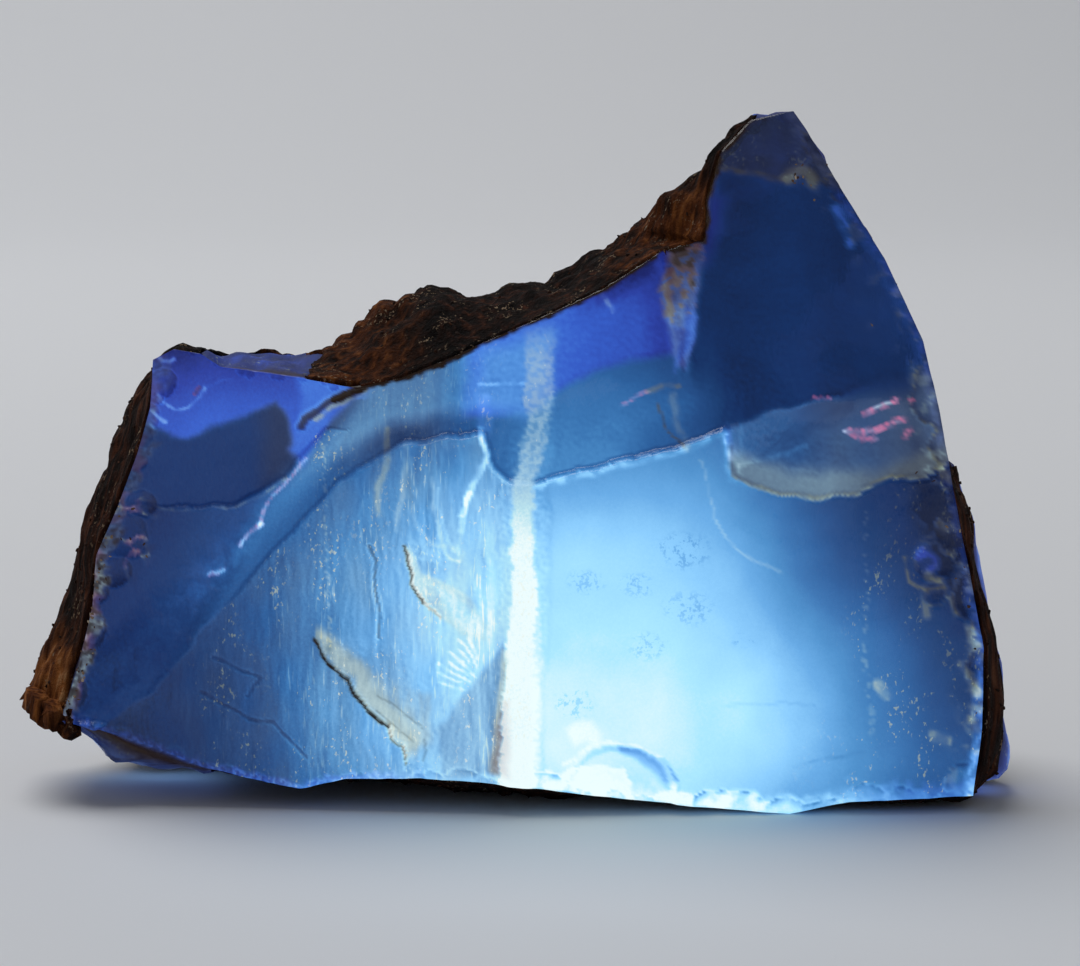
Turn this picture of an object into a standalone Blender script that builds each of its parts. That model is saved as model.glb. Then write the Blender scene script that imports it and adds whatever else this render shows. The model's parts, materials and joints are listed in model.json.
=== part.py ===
"""A rough piece of blue amber: one nugget with a fresh fracture at the front and old rind behind.

The stone is one solid. A finely divided cube is moulded over three cross outlines: the rim of the
fracture at the front, the girth where the nugget is widest, and a smaller outline near the back.
The fracture itself is a height field y(x, z), built from tilted facets that meet at ledges.
Everything is worked out in millimetres, +X right, +Y into the stone and +Z up, and turned into
metres at the end. Run it with: blender --background --python part.py
"""

import math

import bmesh
import bpy
import numpy as np
from mathutils import Vector, noise

MM = 0.001

# ---- driving dimensions, mm -----------------------------------------------------------
ORIGIN_X = -0.24            # middle of the stone's width, which becomes x = 0
ORIGIN_Y = 19.52            # middle of its depth, which becomes y = 0
MIDDLE_X = 2.0              # the axis that the back narrows towards
BACK_Y = 40.0               # how deep the stone is, low down
BACK_LEAN = 0.43            # how fast the back comes forward with height above BACK_BEND_Z
BACK_BEND_Z = 15.0
BACK_WIDTH, BACK_HEIGHT = 0.76, 0.80    # the back outline's share of the girth
BACK_LIFT = 2.0             # how much higher the back's lower edge runs
GIRTH_AT = 0.42             # the girth's place along a side, between the rim at 0 and the back at 1
BACK_TURN = math.radians(66)            # how far round the back edge the sides reach
CELLS_ACROSS, CELLS_DEEP, CELLS_UP = 170, 44, 96
TRIANGLES = 10400
SAG = 3.2                   # how far the underside bulges down, before it is cut flat
GROOVE_AT, GROOVE_DEEP = 0.2, 1.8       # the groove above the flake, at this share of the swell
FLOOR_SNAP = 0.25           # points this near the floor plane are put on it before the cut

# ---- outlines, mm: (x, z), each side from its start to its end --------------------------
RIM = {
    "bottom": [(-43.4, 8.4), (-39.4, 7.2), (-34.1, 5.6), (-29.9, 3.9), (-25, 2.8), (-20.7, 2.0),
               (-16.4, 3.1), (-9.3, 3.3), (-1.4, 2.9), (10.3, 1.5), (16.9, 0.8), (25.3, 0.1),
               (30.8, 1.2), (42.6, 1.6)],
    "left": [(-43.4, 8.4), (-42, 12.9), (-40.6, 18.7), (-40.1, 23.6), (-37.8, 28.5),
             (-35.8, 33.6), (-34.5, 37.9), (-34.1, 42.4)],
    "top": [(-34.1, 42.4), (-32.1, 43.4), (-29.6, 43), (-27.8, 41.8), (-20.2, 40.8), (-15.2, 39.9),
            (-11, 40.8), (-6.4, 42.7), (1.4, 46.1), (7.6, 48.9), (13.2, 52.4), (17.3, 53.4),
            (17.4, 57.1), (18.6, 61.4), (21.6, 64.5), (25.6, 65.3)],
    "right": [(42.6, 1.6), (43.3, 8), (43.3, 15.7), (41.9, 22.6), (40.1, 30.8), (38.9, 37.9),
              (37.5, 44.2), (34.1, 51.6), (29.8, 58.5), (26.8, 63.6), (25.6, 65.3)],
}
GIRTH = {
    "bottom": [(-48.2, 9.2), (-46, 8), (-43, 5.4), (-41, 2.4), (-37, 1.5), (-32.5, 1.6),
               (-27, 1.8), (-17, 1.4), (-5, 0.8), (5, -0.2), (15, -1), (25, -1.6), (37, -1.6),
               (43.6, -0.4)],
    "left": [(-48.2, 9.2), (-47.6, 12.4), (-44.6, 19.1), (-42.4, 27.2), (-40.3, 32.3),
             (-37.5, 38.3), (-34.9, 41.8)],
    "top": [(-34.9, 41.8), (-32.8, 42.6), (-30.3, 42.4), (-28.7, 41.8), (-24.5, 42),
            (-21.9, 41.4), (-18.1, 42.4), (-16.1, 43.6), (-13.7, 46.4), (-8.6, 48.2), (-4.4, 47.3),
            (2.8, 48.8), (7.9, 52), (12.3, 55.6), (14.3, 58.4), (18, 61.9), (21.8, 65)],
    "right": [(43.6, -0.4), (46.6, 1.6), (46.9, 5), (46, 12.8), (43.8, 21.5), (43, 26.3),
              (39.9, 34.9), (38.7, 42), (35.4, 50.6), (31.3, 56.4), (26.4, 64.4), (21.8, 65)],
}

# ---- lines of the fracture, mm: (x, z), from left to right --------------------------------
LEDGE = [(-48, 2), (-34.6, 10.7), (-29.8, 16.4), (-22.2, 25), (-18.7, 28.8), (-15, 32.3),
         (-10.5, 34.7), (-3.5, 35.8), (-2.9, 33.3), (-1.3, 31.5), (1.4, 31.1), (5.5, 32.4),
         (9, 33.3), (15.2, 34.7), (19, 36.4), (19.7, 31.6), (24.7, 30.3), (29.8, 30.5),
         (33.4, 31.7), (37.1, 31.6), (39.4, 33.3), (46, 40)]
LEDGE_STEP = [(-36, 0), (-24, 1.1), (-12, 1.9), (-3, 1.6), (6, 1.4), (16, 1.2), (20, 1.9),
              (30, 2.1), (37, 1.3), (40, 0.5)]
ARC_TOP = [(-32, 16), (-25.2, 24.7), (-20.5, 30.2), (-17, 33.7), (-12.3, 36.6), (-6.2, 38),
           (2, 37.5)]
CREST = [(-38, 8), (-33, 14), (-29.4, 20), (-26.5, 24.8), (-24.7, 28.5), (-21.6, 32), (-18.1, 35),
         (-15, 39), (-13, 44)]
SEAM = [(-42, 29.6), (-33.9, 28.4), (-29.4, 28.4), (-26.3, 28.7), (-21.8, 31.5), (-18, 36)]
VIOLET_EDGE = [(-42, 36), (-33.1, 35.9), (-30.8, 34.8), (-27.7, 35.9), (-22.3, 38.3),
               (-21.4, 33.5), (-20.8, 33), (-18.1, 36), (-15.2, 39)]
SPIRE_FOOT = [(12, 36), (19.2, 36.3), (22.4, 37.7), (27.9, 38.7), (32.1, 40.1), (38.5, 41.4),
              (46, 43)]
SPIRE_SIDE = [(16.9, 30), (16.9, 36.2), (16.2, 40.4), (15.9, 43.2), (16.5, 47.9), (17.1, 56)]
NOTCH_FOOT = (15.2, 41)
TOP_BEND = [(-6, 37.5), (-1.8, 38), (1, 38.6), (3.8, 40.9), (7.5, 42.4), (14.5, 43), (20, 43)]
CRACK = [(-20, 17), (-18.5, 14.6), (-16.2, 12.3), (-14, 9.4), (-11.8, 6.7), (-10.4, 3)]
CHIP_CRACK = [(-10.6, 25.6), (-10.5, 23), (-9.1, 20.4), (-6.6, 18), (-5.4, 17)]
RIDGE = [(-0.4, 0), (-0.2, 11.7), (0.4, 20), (0.4, 31), (1.8, 37), (2, 46)]
RIDGE_WIDE, RIDGE_HIGH = 2.6, 0.75
SHELL_AT, SHELL_SIZE, SHELL_DEEP = (9.2, 1.2), (5.6, 5.4), 0.9

# ---- faces of the fracture, mm ----------------------------------------------------------
# Depth at a point (x, z), the point, and how much deeper the face runs per mm to the right and up.
FACES = {
    "window": (0.35, (14, 7), (0, 0)),
    "rough": (0.75, (0, 8), (-0.105, 0)),
    "left": (4.6, (-26, 24), (-0.17, -0.03)),
    "quad": (5.2, (-26, 32), (-0.10, -0.06)),
    "violet": (5.4, (-24, 37), (-0.12, 0.24)),
    "inner": (3.5, (-12, 34), (-0.11, 0.10)),
    "scoop": (2.0, (8, 31), (0.004, 0.10)),
    "spire": (2.7, (26, 38), (0.03, 0.25)),
    "chip": (2.3, (28, 31), (0, 0.045)),
}
# Hollows in those faces: the middle (x, z), the reach across and up, and the depth.
HOLLOWS = {
    "rough": ((-12, 18), (13, 16), 0.5),
    "left": ((-36, 19), (8, 12), 0.8),
    "scoop": ((6, 35), (11, 6), 0.5),
    "spire": ((28, 49), (11, 13), 0.7),
    "chip": ((29, 36), (10, 6), 0.5),
}


def ramp(value, low, high):
    """0 below low, 1 above high and a smooth rise between them."""
    t = np.clip((value - low) / (high - low), 0, 1)
    return t * t * (3 - 2 * t)


def line_at(line, where):
    """The second coordinate of a line whose first one rises."""
    return np.interp(where, [p[0] for p in line], [p[1] for p in line])


def distance_to(line, x, z):
    """How far each point is from a line of straight pieces."""
    best = np.full(np.shape(x), 1e9)
    for (x0, z0), (x1, z1) in zip(line, line[1:]):
        length2 = (x1 - x0) ** 2 + (z1 - z0) ** 2
        t = np.clip(((x - x0) * (x1 - x0) + (z - z0) * (z1 - z0)) / length2, 0, 1)
        best = np.minimum(best, np.hypot(x - x0 - t * (x1 - x0), z - z0 - t * (z1 - z0)))
    return best


def above(line, x, z):
    """Signed distance to a line that runs left to right: positive above it."""
    return distance_to(line, x, z) * np.sign(z - line_at(line, x))


def right_of(line, x, z):
    """Signed distance to a line that runs upwards: positive on its right."""
    swapped = [(p[1], p[0]) for p in line]
    return distance_to(line, x, z) * np.sign(x - line_at(swapped, z))


def mix(first, second, share):
    return first + (second - first) * share


def face(name, x, z):
    """Depth of one face, with its hollow."""
    depth, (x0, z0), (per_x, per_z) = FACES[name]
    y = depth + per_x * (x - x0) + per_z * (z - z0)
    if name in HOLLOWS:
        (x0, z0), (wide, tall), deep = HOLLOWS[name]
        y = y + deep * np.maximum(1 - ((x - x0) / wide) ** 2 - ((z - z0) / tall) ** 2, 0) ** 1.5
    return y


def proud_level(x, z):
    """The wide window right of the ridge and the rough face left of it."""
    window = face("window", x, z) + 0.0016 * (x - 14) ** 2 + 0.006 * np.maximum(7 - z, 0) ** 2
    rough = face("rough", x, z) + 0.004 * np.maximum(8 - z, 0) ** 2
    return mix(rough, window, ramp(x, -1.5, 1.5))


def set_back_level(x, z):
    """The faces above the ledge, painted over one another from the left end."""
    y = mix(face("left", x, z), face("quad", x, z), ramp(above(SEAM, x, z), -0.2, 0.3))
    y = mix(y, face("violet", x, z), ramp(above(VIOLET_EDGE, x, z), -0.5, 0.5))
    y = mix(y, face("inner", x, z), ramp(above(CREST, x, z), 0.8, -0.8))
    y = mix(y, face("scoop", x, z), ramp(x, -5, -1))
    over_bend = above(TOP_BEND, x, z)
    bent = ramp(x, -12, -5) * ramp(over_bend, 0, 1.2)
    y = mix(y, face("scoop", x, z) + 0.27 * over_bend, bent)
    over_foot = above(SPIRE_FOOT, x, z)
    on_spire = ramp(right_of(SPIRE_SIDE, x, z), -0.6, 0.5) * ramp(over_foot, -0.4, 0.4)
    y = mix(y, face("spire", x, z), on_spire)
    return mix(y, face("chip", x, z), ramp(over_foot, 0.4, -0.4) * ramp(x, 18.4, 20))


def flaked(y, crack, deep, reach, x, z):
    """A crack, and right of it a flake that has lifted off and fades out over its reach."""
    aside = right_of(crack[::-1], x, z)
    top, foot = crack[0][1], crack[-1][1]
    ends = ramp(z, foot - 1, foot + 2) * ramp(z, top + 0.5, top - 2)
    return y + deep * ends * ramp(aside, -0.4, 0.4) * ramp(aside, reach, 0.6)


def fracture(x, z):
    """Depth y of the front surface at each (x, z)."""
    proud, set_back = proud_level(x, z), set_back_level(x, z)
    over_ledge = above(LEDGE, x, z)
    # The dark arc is a shallow trough just above the ledge.
    trough = ramp(over_ledge, 0, 0.5) * ramp(above(ARC_TOP, x, z), 0.6, -1.2)
    set_back = set_back + 0.5 * trough * ramp(x, -30, -14) * ramp(x, 1, -4)
    # The ledge parts the two levels, and dies out at both of its ends.
    held = proud + line_at(LEDGE_STEP, x) + 0.20 * np.maximum(over_ledge, 0)
    upper = mix(set_back, np.minimum(set_back, held), ramp(over_ledge, 7, 1.5))
    y = mix(proud, upper, ramp(over_ledge, -0.3, 0.5))
    # The upright ridge between the two proud faces.
    from_ridge = np.abs(x - np.interp(z, [p[1] for p in RIDGE], [p[0] for p in RIDGE]))
    y = y - RIDGE_HIGH * ramp(from_ridge, RIDGE_WIDE, 0.4) * ramp(z, 42, 33)
    y = flaked(y, CRACK, 1.0, 7.0, x, z)
    y = flaked(y, CHIP_CRACK, 0.8, 5.0, x, z)
    # The shell-shaped chip at the foot of the window, in two steps.
    from_shell = np.hypot((x - SHELL_AT[0]) / SHELL_SIZE[0], (z - SHELL_AT[1]) / SHELL_SIZE[1])
    y = y + SHELL_DEEP * ramp(from_shell, 1.0, 0.82) * (0.55 + 0.45 * ramp(from_shell, 0.75, 0.6))
    # The wedge of rind that cuts down between the violet face and the spire.
    notch = np.abs(x - NOTCH_FOOT[0]) - 0.17 * (z - NOTCH_FOOT[1])
    up_notch = ramp(z, NOTCH_FOOT[1] - 0.5, NOTCH_FOOT[1] + 2)
    return y + 1.2 * ramp(notch, 0.5, -0.7) * up_notch


def along(points, share):
    """Points at each share, 0 to 1, of the length of an outline's side."""
    points = np.array(points, float)
    run = np.concatenate([[0], np.cumsum(np.hypot(*np.diff(points, axis=0).T))])
    at = np.asarray(share) * run[-1]
    return np.stack([np.interp(at, run, points[:, 0]), np.interp(at, run, points[:, 1])], -1)


def inside(outline, a, c):
    """A Coons patch: fills a four-sided outline, a from left to right and c from bottom to top."""
    bottom, top = along(outline["bottom"], a), along(outline["top"], a)
    left, right = along(outline["left"], c), along(outline["right"], c)
    a, c = a[:, None], c[:, None]
    corners = [np.array(outline[side][end]) for side, end in
               (("bottom", 0), ("bottom", -1), ("top", 0), ("top", -1))]
    flat = mix(mix(corners[0], corners[1], a), mix(corners[2], corners[3], a), c)
    return mix(bottom, top, c) + mix(left, right, a) - flat


def girth_depth(x, z):
    """Depth y of the widest outline."""
    lump = 5 * ramp(z, 30, 44) * ramp(z, 60, 50) * ramp(x, -36, -16)
    return 16 + lump - 4.5 * ramp(z, 46, 64) - 4 * ramp(x, 30, 46) * ramp(z, 50, 20)


def back_depth(x, z):
    """Depth y of the back at its deepest."""
    lean = BACK_LEAN * np.maximum(z - BACK_BEND_Z, 0)
    return BACK_Y - lean - 0.0035 * (x - MIDDLE_X) ** 2


def mould(share):
    """Turns cube coordinates (a across, b deep, c up, all 0 to 1) into points of the stone."""
    a, b, c = share.T
    rim, girth = inside(RIM, a, c), inside(GIRTH, a, c)
    back = np.stack([mix(MIDDLE_X, girth[:, 0], BACK_WIDTH), girth[:, 1] * BACK_HEIGHT], -1)
    back[:, 1] += BACK_LIFT
    y_rim = fracture(rim[:, 0], rim[:, 1])
    y_girth = np.maximum(girth_depth(girth[:, 0], girth[:, 1]), y_rim + 3)
    # From the rim to the girth a side swells out, and from the girth to the back it rounds off.
    out = np.clip(b / GIRTH_AT, 0, 1)
    over = np.clip((b - GIRTH_AT) / (1 - GIRTH_AT), 0, 1) * BACK_TURN
    swell = np.sin(out * math.pi / 2)[:, None]
    flat = mix(rim, girth, swell)
    flat = mix(flat, back, ((1 - np.cos(over)) / (1 - math.cos(BACK_TURN)))[:, None])
    # Under the left end a broken flake hangs in front, parted from the rim by a groove.
    hung = ramp(-rim[:, 0], 28, 36) * (c == 0)
    y = mix(y_rim, y_girth, mix(out, out ** 2.4, hung))
    bulge = ramp(b, GIRTH_AT, 0.6) * ramp(b, 1, 0.8) * ramp(flat[:, 0], -34, -24)
    flat[:, 1] -= SAG * bulge * (c == 0)
    y += GROOVE_DEEP * hung * ramp(np.abs(out - GROOVE_AT), GROOVE_AT, 0)
    deep = back_depth(flat[:, 0], flat[:, 1]) - y_girth
    inset = np.clip((np.abs(2 * a - 1) ** 4 + np.abs(2 * c - 1) ** 4) ** 0.25, 0, 1)
    edge = 1 - math.cos(BACK_TURN)
    dome = np.sqrt(1 - ((1 - edge) * inset) ** 2)
    y = np.where(b >= 1, y_girth + deep * dome, y + deep * np.sin(over))
    return np.stack([flat[:, 0], y, flat[:, 1]], -1)


def rind_height(p, depth_share):
    """How far the old surface stands out at a point: broad lumps, knobs and short ridges."""
    at = Vector(p)
    lumps = 1.3 * noise.noise(at * 0.055 + Vector((3.1, 0, 7.7)))
    knobs = 0.8 * noise.noise(at * 0.16)
    bark = noise.noise(Vector((at.x * 0.4, at.y * 0.4, at.z * 0.13)) + Vector((0, 9.2, 0)))
    pits = ramp(noise.noise(at * 0.11 + Vector((40, 0, 0))), 0.28, 0.5)
    return (lumps + knobs + 0.9 * (abs(bark) - 0.25) - 1.2 * pits) * depth_share


# Flat breaks across the back: a point on each plane and its outward normal.
BREAKS = [((24, 30, 34), (0.45, 0.82, 0.35)), ((-30, 27, 24), (-0.62, 0.72, 0.30)),
          ((4, 36, 24), (0.05, 0.98, 0.18)), ((-6, 27, 44), (-0.12, 0.62, 0.78))]


def weather(points, normals, share):
    """Roughens the old surface, and slices the back along a few flat breaks."""
    back = ramp(share[:, 1], 0.0, 0.16)
    for index, amount in enumerate(back):
        if amount > 0:
            points[index] += normals[index] * rind_height(points[index], amount)
    for place, normal in BREAKS:
        normal = np.array(normal) / np.linalg.norm(normal)
        past = np.maximum((points - np.array(place, float)) @ normal, 0) * ramp(share[:, 1], 0.4, 0.6)
        points -= 0.88 * past[:, None] * normal
    return points


def divided_cube(cells):
    """A unit cube whose edges along x, y and z are cut into the given numbers of cells."""
    bm = bmesh.new()
    bmesh.ops.create_cube(bm, size=1)
    for axis, count in enumerate(cells):
        edges = [e for e in bm.edges if abs((e.verts[0].co - e.verts[1].co)[axis]) > 0.5]
        bmesh.ops.subdivide_edges(bm, edges=edges, cuts=count - 1, use_grid_fill=True)
    return bm


def coordinates(mesh):
    flat = np.empty(len(mesh.vertices) * 3)
    mesh.vertices.foreach_get("co", flat)
    return flat.reshape(-1, 3)


def normals_of(mesh):
    flat = np.empty(len(mesh.vertices) * 3)
    mesh.vertex_normals.foreach_get("vector", flat)
    return flat.reshape(-1, 3)


def fine_stone():
    """The moulded stone at full fineness, in millimetres."""
    bm = divided_cube((CELLS_ACROSS, CELLS_DEEP, CELLS_UP))
    mesh = bpy.data.meshes.new("fine_stone")
    bm.to_mesh(mesh)
    bm.free()
    share = np.round(coordinates(mesh) + 0.5, 6)
    mesh.vertices.foreach_set("co", mould(share).ravel())
    mesh.update()
    points = weather(coordinates(mesh), normals_of(mesh), share)
    mesh.vertices.foreach_set("co", points.ravel())
    mesh.update()
    return mesh


def lighter(mesh, triangles):
    """The same shape in fewer triangles."""
    draft = bpy.data.objects.new("draft", mesh)
    bpy.context.scene.collection.objects.link(draft)
    fewer = draft.modifiers.new("fewer", "DECIMATE")
    fewer.ratio = triangles / (2 * len(mesh.polygons))
    graph = bpy.context.evaluated_depsgraph_get()
    made = bpy.data.meshes.new_from_object(draft.evaluated_get(graph))
    bpy.data.objects.remove(draft)
    bpy.data.meshes.remove(mesh)
    return made


def drop_crumbs(bm):
    """Removes whatever the floor cut has parted from the stone."""
    kept = {max(bm.faces, key=lambda face: face.calc_center_median().z)}
    newest = list(kept)
    while newest:
        around = {near for edge in newest.pop().edges for near in edge.link_faces}
        newest.extend(around - kept)
        kept |= around
    loose = [face for face in bm.faces if face not in kept]
    bmesh.ops.delete(bm, geom=loose, context="FACES")
    return len(loose)


def flat_based(mesh):
    """Cuts the stone flat where it rests, fills the cut, and puts the origin under its middle."""
    bm = bmesh.new()
    bm.from_mesh(mesh)
    for vert in bm.verts:
        if abs(vert.co.z) < FLOOR_SNAP:
            vert.co.z = 0
    everything = bm.verts[:] + bm.edges[:] + bm.faces[:]
    bmesh.ops.bisect_plane(bm, geom=everything, dist=1e-4, plane_co=(0, 0, 0),
                           plane_no=(0, 0, -1), clear_outer=True)
    print("faces of crumbs under the cut", drop_crumbs(bm))
    edges = [e for e in bm.edges if e.is_boundary]
    bmesh.ops.holes_fill(bm, edges=edges, sides=0)
    bmesh.ops.remove_doubles(bm, verts=bm.verts[:], dist=0.02)
    bmesh.ops.dissolve_degenerate(bm, edges=bm.edges[:], dist=0.02)
    bmesh.ops.triangulate(bm, faces=bm.faces[:])
    bmesh.ops.recalc_face_normals(bm, faces=bm.faces[:])
    bmesh.ops.translate(bm, verts=bm.verts[:], vec=(-ORIGIN_X, -ORIGIN_Y, 0))
    bmesh.ops.scale(bm, verts=bm.verts[:], vec=(MM, MM, MM))
    made = bpy.data.meshes.new("rough_amber")
    bm.to_mesh(made)
    bm.free()
    bpy.data.meshes.remove(mesh)
    return made


def amber_material():
    material = bpy.data.materials.new("blue_amber")
    material.use_nodes = True
    shader = material.node_tree.nodes["Principled BSDF"]
    shader.inputs["Base Color"].default_value = (0.07, 0.27, 0.58, 1)
    shader.inputs["Roughness"].default_value = 0.18
    shader.inputs["Metallic"].default_value = 0.0
    shader.inputs["IOR"].default_value = 1.54
    return material


def main():
    for obj in list(bpy.data.objects):
        bpy.data.objects.remove(obj)
    collection = bpy.data.collections.new("rough_blue_amber")
    bpy.context.scene.collection.children.link(collection)
    mesh = flat_based(lighter(fine_stone(), TRIANGLES))
    mesh.materials.append(amber_material())
    stone = bpy.data.objects.new("rough_amber", mesh)
    collection.objects.link(stone)
    points = coordinates(mesh) / MM
    print("triangles", len(mesh.polygons))
    print("box, mm", np.round(points.min(0), 2), np.round(points.max(0), 2))


main()
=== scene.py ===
# %% [markdown]
# # A rough piece of blue amber
# Blue amber is fossil resin that looks honey brown in plain light and glows blue under an
# ultraviolet lamp. This stone has one fresh fracture, stepped and glassy, and old brown rind on
# every other side. The lesson builds it as a closed see-through body that glows, a bark-like
# shell of rind around it, and small crumbs and splinters that cling to the broken rim.

# %% Load the fixed frame
import json
import math

import bmesh
import bpy
import numpy as np
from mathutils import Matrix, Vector, noise

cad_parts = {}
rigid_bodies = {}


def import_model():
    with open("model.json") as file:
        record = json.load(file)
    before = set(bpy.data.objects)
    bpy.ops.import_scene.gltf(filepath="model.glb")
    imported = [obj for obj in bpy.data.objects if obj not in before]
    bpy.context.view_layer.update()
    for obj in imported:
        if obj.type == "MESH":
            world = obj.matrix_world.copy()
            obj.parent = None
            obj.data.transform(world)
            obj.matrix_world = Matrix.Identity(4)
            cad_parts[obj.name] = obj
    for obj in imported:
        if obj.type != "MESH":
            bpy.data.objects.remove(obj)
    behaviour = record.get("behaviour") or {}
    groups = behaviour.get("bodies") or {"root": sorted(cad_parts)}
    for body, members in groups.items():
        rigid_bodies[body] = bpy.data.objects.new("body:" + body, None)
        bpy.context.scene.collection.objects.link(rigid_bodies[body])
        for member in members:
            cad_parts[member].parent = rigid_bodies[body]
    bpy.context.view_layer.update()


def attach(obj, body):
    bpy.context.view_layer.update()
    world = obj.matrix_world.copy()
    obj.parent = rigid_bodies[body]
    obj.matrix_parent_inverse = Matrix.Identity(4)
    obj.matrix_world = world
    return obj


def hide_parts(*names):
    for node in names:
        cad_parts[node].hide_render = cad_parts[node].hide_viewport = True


for obj in list(bpy.data.objects):
    bpy.data.objects.remove(obj)
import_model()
MM = 0.001

# %% [markdown]
# Two kinds of arithmetic come back all the time: a smooth rise from 0 to 1, and the distance to
# a line of straight pieces. With them a ledge, a crack or a painted edge is one short formula.
# A broad or fine noise then keeps any of them from looking drawn.

# %% Rises, curves and spots
def ramp(value, low, high):
    """0 below low, 1 above high and a smooth rise between them."""
    t = np.clip((value - low) / (high - low), 0, 1)
    return t * t * (3 - 2 * t)


def mix(first, second, share):
    return first + (second - first) * share


def line_at(line, where):
    """The second coordinate of a line, or a curve's value, where its first one rises."""
    return np.interp(where, [p[0] for p in line], [p[1] for p in line])


def spot(x, z, at, edge, core):
    """1 within the core distance of a place, and falling to 0 at the edge distance."""
    return ramp(np.hypot(x - at[0], z - at[1]), edge, core)


print("half way up a rise:", float(ramp(0.5, 0, 1)))

# %% Distance to a line
def distance_to(line, x, z):
    """For each point: its distance to a line of straight pieces."""
    best = np.full(np.shape(x), np.inf)
    for (x0, z0), (x1, z1) in zip(line, line[1:]):
        length2 = (x1 - x0) ** 2 + (z1 - z0) ** 2
        t = np.clip(((x - x0) * (x1 - x0) + (z - z0) * (z1 - z0)) / length2, 0, 1)
        best = np.minimum(best, np.hypot(x - (x0 + t * (x1 - x0)), z - (z0 + t * (z1 - z0))))
    return best


def above(line, x, z):
    """Signed distance to a line that runs left to right: positive above it."""
    return distance_to(line, x, z) * np.sign(z - line_at(line, x))


def right_of(line, x, z):
    """Signed distance to a line that runs upwards: positive on its right."""
    swapped = [(p[1], p[0]) for p in line]
    return distance_to(line, x, z) * np.sign(x - line_at(swapped, z))


print("from (3, 4) to a flat line:", float(distance_to([(0, 0), (9, 0)], 3.0, 4.0)))

# %% Noise
def noise_at(x, y, z, scale, shift=0.0):
    """Smooth noise, -1 to 1, at many points. The scale is one number or three, per mm."""
    scale = np.broadcast_to(scale, 3)
    places = np.stack(np.broadcast_arrays(x, y, z), -1) * scale + shift
    return np.array([noise.noise(Vector(place)) for place in places])


def wander(x, z):
    """Moves each place a little by noise, so that no line on the fracture stays straight."""
    return (x + 0.30 * noise_at(x, 0, z, 0.5, 101) + 0.08 * noise_at(x, 0, z, 2.1, 103),
            z + 0.30 * noise_at(x, 0, z, 0.5, 105) + 0.08 * noise_at(x, 0, z, 2.1, 107))


here = np.array([5.0])
print("wander moves (5, 5) to", [round(float(v[0]), 2) for v in wander(here, here)])

# %% [markdown]
# The stone's form is held by three outlines seen from the front: the rim of the fracture, the
# girth where the nugget is widest, and a smaller outline near the back. Each has four sides, so
# that a sheet can be stretched over it. All sizes are in millimetres, with x across, y into the
# stone and z up; ORIGIN is the point that becomes x = 0, y = 0 in the finished model.

# %% Outline of the fracture's rim
ORIGIN = np.array((-0.24, 19.52, 0.0))
RIM = {
    "bottom": [(-43.4, 8.4), (-39.4, 7.2), (-34.1, 5.6), (-29.9, 3.9), (-25, 2.8), (-20.7, 2.0),
               (-16.4, 3.1), (-9.3, 3.3), (-1.4, 2.9), (10.3, 1.5), (16.9, 0.8), (25.3, 0.1),
               (30.8, 1.2), (42.6, 1.6)],
    "left": [(-43.4, 8.4), (-42, 12.9), (-40.6, 18.7), (-40.1, 23.6), (-37.8, 28.5),
             (-35.8, 33.6), (-34.5, 37.9), (-34.1, 42.4)],
    "top": [(-34.1, 42.4), (-32.1, 43.4), (-29.6, 43), (-27.8, 41.8), (-20.2, 40.8), (-15.2, 39.9),
            (-11, 40.8), (-6.4, 42.7), (1.4, 46.1), (7.6, 48.9), (13.2, 52.4), (17.3, 53.4),
            (17.4, 57.1), (18.6, 61.4), (21.6, 64.5), (25.6, 65.3)],
    "right": [(42.6, 1.6), (43.3, 8), (43.3, 15.7), (41.9, 22.6), (40.1, 30.8), (38.9, 37.9),
              (37.5, 44.2), (34.1, 51.6), (29.8, 58.5), (26.8, 63.6), (25.6, 65.3)],
}
print("rim points", sum(map(len, RIM.values())))

# %% Outline of the girth
GIRTH = {
    "bottom": [(-48.2, 9.2), (-46, 8), (-43, 5.4), (-41, 2.4), (-37, 1.5), (-32.5, 1.6),
               (-27, 1.8), (-17, 1.4), (-5, 0.8), (5, -0.2), (15, -1), (25, -1.6), (37, -1.6),
               (43.6, -0.4)],
    "left": [(-48.2, 9.2), (-47.6, 12.4), (-44.6, 19.1), (-42.4, 27.2), (-40.3, 32.3),
             (-37.5, 38.3), (-34.9, 41.8)],
    "top": [(-34.9, 41.8), (-32.8, 42.6), (-30.3, 42.4), (-28.7, 41.8), (-24.5, 42),
            (-21.9, 41.4), (-18.1, 42.4), (-16.1, 43.6), (-13.7, 46.4), (-8.6, 48.2), (-4.4, 47.3),
            (2.8, 48.8), (7.9, 52), (12.3, 55.6), (14.3, 58.4), (18, 61.9), (21.8, 65)],
    "right": [(43.6, -0.4), (46.6, 1.6), (46.9, 5), (46, 12.8), (43.8, 21.5), (43, 26.3),
              (39.9, 34.9), (38.7, 42), (35.4, 50.6), (31.3, 56.4), (26.4, 64.4), (21.8, 65)],
}
print("girth points", sum(map(len, GIRTH.values())))

# %% [markdown]
# Resin breaks like glass, in shallow curved faces that end at ledges. The fracture is written as
# a depth for every (x, z): a handful of tilted faces, each with a soft hollow, laid beside one
# another along drawn lines. A sculpted mesh could look the same, but lines and faces with names
# can be changed later, and the same lines are used again to paint the glow.

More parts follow.
